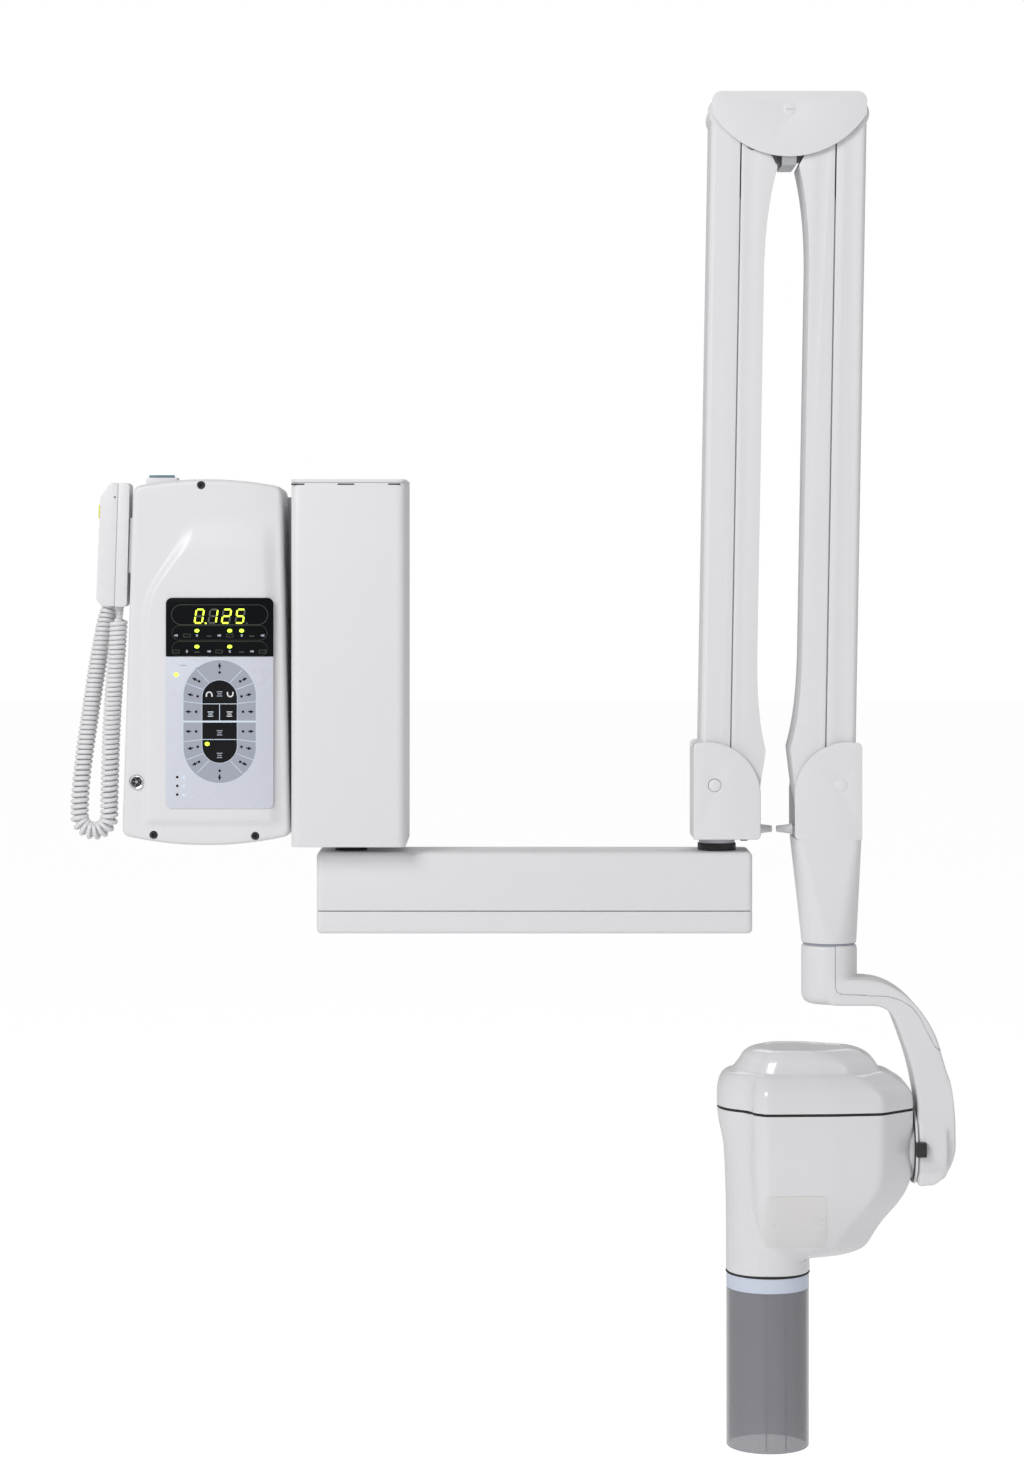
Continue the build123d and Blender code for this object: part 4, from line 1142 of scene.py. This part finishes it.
def bumper_pegs():
    """Tapered soft pegs with a rounded foot and tip."""
    for node, turned in (("base_bumper", 1), ("end_bumper", -1)):
        low, high = place_of(node)
        _, y, z = middle_of(node)
        length, radius = high[0] - low[0], (high[2] - low[2]) / 2
        profile = [(0.4, 0.1), (radius, 0.1), (radius + 0.9, 0.2), (radius + 0.3, 1.6),
                   (0.86 * radius, length * 0.5), (0.72 * radius, length - 1), (0.6 * radius, length - 0.3),
                   (0.4, length)]
        lathe(node + "_turned", profile, (low[0] if turned > 0 else high[0], y, z), (turned, 0, 0), node,
              MATERIALS["white_plastic"], True, 40)


def rating_plate():
    """Blank pale sticker laid over the lower front of the tubehead."""
    low, high = place_of("tubehead_casing")
    casing = bpy.data.objects["head_casing"]
    middle_x, middle_z, half_w, half_h = low[0] + 68, high[2] - 96, 27, 24

    def place(u, v):
        u, v = 2 * u - 1, 2 * v - 1
        trim = 1 - 0.018 * (u * v) ** 8
        x, z = middle_x + half_w * u * trim, middle_z + half_h * v * trim
        hit, spot, _, _ = casing.ray_cast(Vector((x * MM, -300 * MM, z * MM)), Vector((0, 1, 0)))
        return x, spot.y / MM - 0.3 if hit else low[1], z

    add_film("rating_plate_blank", 28, 28, place, "tubehead_casing", 0.15, 0, PRINT["sticker"])


def painted_tower_shades():
    """Three short black strips along the tower's top front edge: painted shade of three gaps there."""
    node = "tower_cover"
    low, high = place_of(node)
    top = high[2] - 0.4
    for k, (share, width) in enumerate(((0.06, 12), (0.48, 15), (0.9, 11))):
        x = low[0] + (high[0] - low[0]) * share
        outline = rounded(rectangle(x - width / 2, top - 1.6, x + width / 2, top - 0.4), 0.4)
        # Each strip is a black block just proud of the cover's face, painted shade standing in for a gap.
        add_piece(f"tower_painted_gap_shade_{k}", *prism(outline, low[1] - 0.12, low[1] + 0.8), node, PRINT["black"])


def soft_covers():
    """Plates, links and shells that keep the frame's shape with rounded edges, by width of the rounding."""
    for width, nodes in (
        (0.4, "brake_screw"),
        (0.5, "power_rocker swing_washer swivel_washer"),
        (0.6, "handset_cradle extension_upper_cover extension_lower_cover"),
        (0.7, "power_switch_bezel tilt_clamp elbow_core base_knuckle_casting end_knuckle_casting"),
        (0.8, "tower_top_cap exposure_button"),
        (0.9, "tower_cover"),
        (1.0, "control_rear_housing"),
        (1.1, "lower_inner_link upper_inner_link"),
        (1.3, "lower_outer_link upper_outer_link"),
        (1.6, "handset_back_shell base_knuckle_covers end_knuckle_covers elbow_covers"),
        (2.6, "handset_front_shell"),
    ):
        for node in nodes.split():
            softened(node, width)


for build in (head_cover, head_casing, head_gasket, hub_seat, neck_rings, cone, yoke, yoke_seal, painted_tower_shades,
              front_cover, cover_hardware, keypad, coiled_cord, strain_relief, handset_dot, joint_caps,
              bumper_pegs, rating_plate, soft_covers):
    build()


# ---------- stage
def camera_level(tree, unseen, seen, target, inlet):
    """One strength for light that falls on the object and another for what the camera sees."""
    level = new_node(tree, "MapRange", {"To Min": unseen, "To Max": seen})
    wire(tree, new_node(tree, "LightPath"), "Is Camera Ray", level, "Value")
    wire(tree, level, "Result", target, inlet)


def stage():
    """Pale floor well below the unit, placed in metres. It glows a little for the camera."""
    bpy.ops.mesh.primitive_plane_add(size=60, location=(0, 0, -1.25))
    floor = bpy.context.object
    floor.name = "floor"
    pale = surface("pale_floor", (0.9, 0.9, 0.905), 0.8, grain=3, bump=0.02, tint=0.005)
    shader = preset(pale.node_tree.nodes["Principled BSDF"], {"Emission Color": (1, 1, 1, 1)})
    camera_level(pale.node_tree, 0.2, 0.62, shader, "Emission Strength")
    floor.data.materials.append(pale)


def area_light(name, place, size, power):
    data = bpy.data.lights.new(name, "AREA")
    data.shape = "RECTANGLE"
    data.size, data.size_y = size
    data.energy = power
    light = link(name, data)
    light.location = place
    target = Vector((0.14, -0.07, -0.07))
    light.rotation_euler = (target - Vector(place)).to_track_quat("-Z", "Y").to_euler()


def studio():
    """Plain pale surroundings and three soft lights, placed in metres."""
    world = bpy.data.worlds.new("studio")
    bpy.context.scene.world = world
    world.use_nodes = True
    backdrop = preset(world.node_tree.nodes["Background"], {"Color": (1.0, 1.0, 1.0, 1)})
    camera_level(world.node_tree, 0.4, 1.0, backdrop, "Strength")
    area_light("key", (-1.6, -2.6, 1.7), (1.5, 1.5), 66)
    area_light("fill", (2.4, -2.2, 0.6), (1.4, 2.0), 8)
    area_light("rim", (0.5, 2.2, 1.6), (2.0, 1.0), 8)


def camera():
    """Level view from straight in front, shifted down, placed in metres."""
    low, high = cad_box
    data = bpy.data.cameras.new("camera")
    data.lens = 85.2
    data.shift_y = -0.1234
    eye = link("camera", data)
    distance, height = 3.15, 0.0945
    eye.location = ((low[0] + high[0]) / 2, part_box("yoke_body")[0][1] - distance, height)
    eye.rotation_euler = (math.radians(90), 0, 0)
    bpy.context.scene.camera = eye


stage()
studio()
camera()
bpy.context.scene.view_settings.view_transform = "Standard"
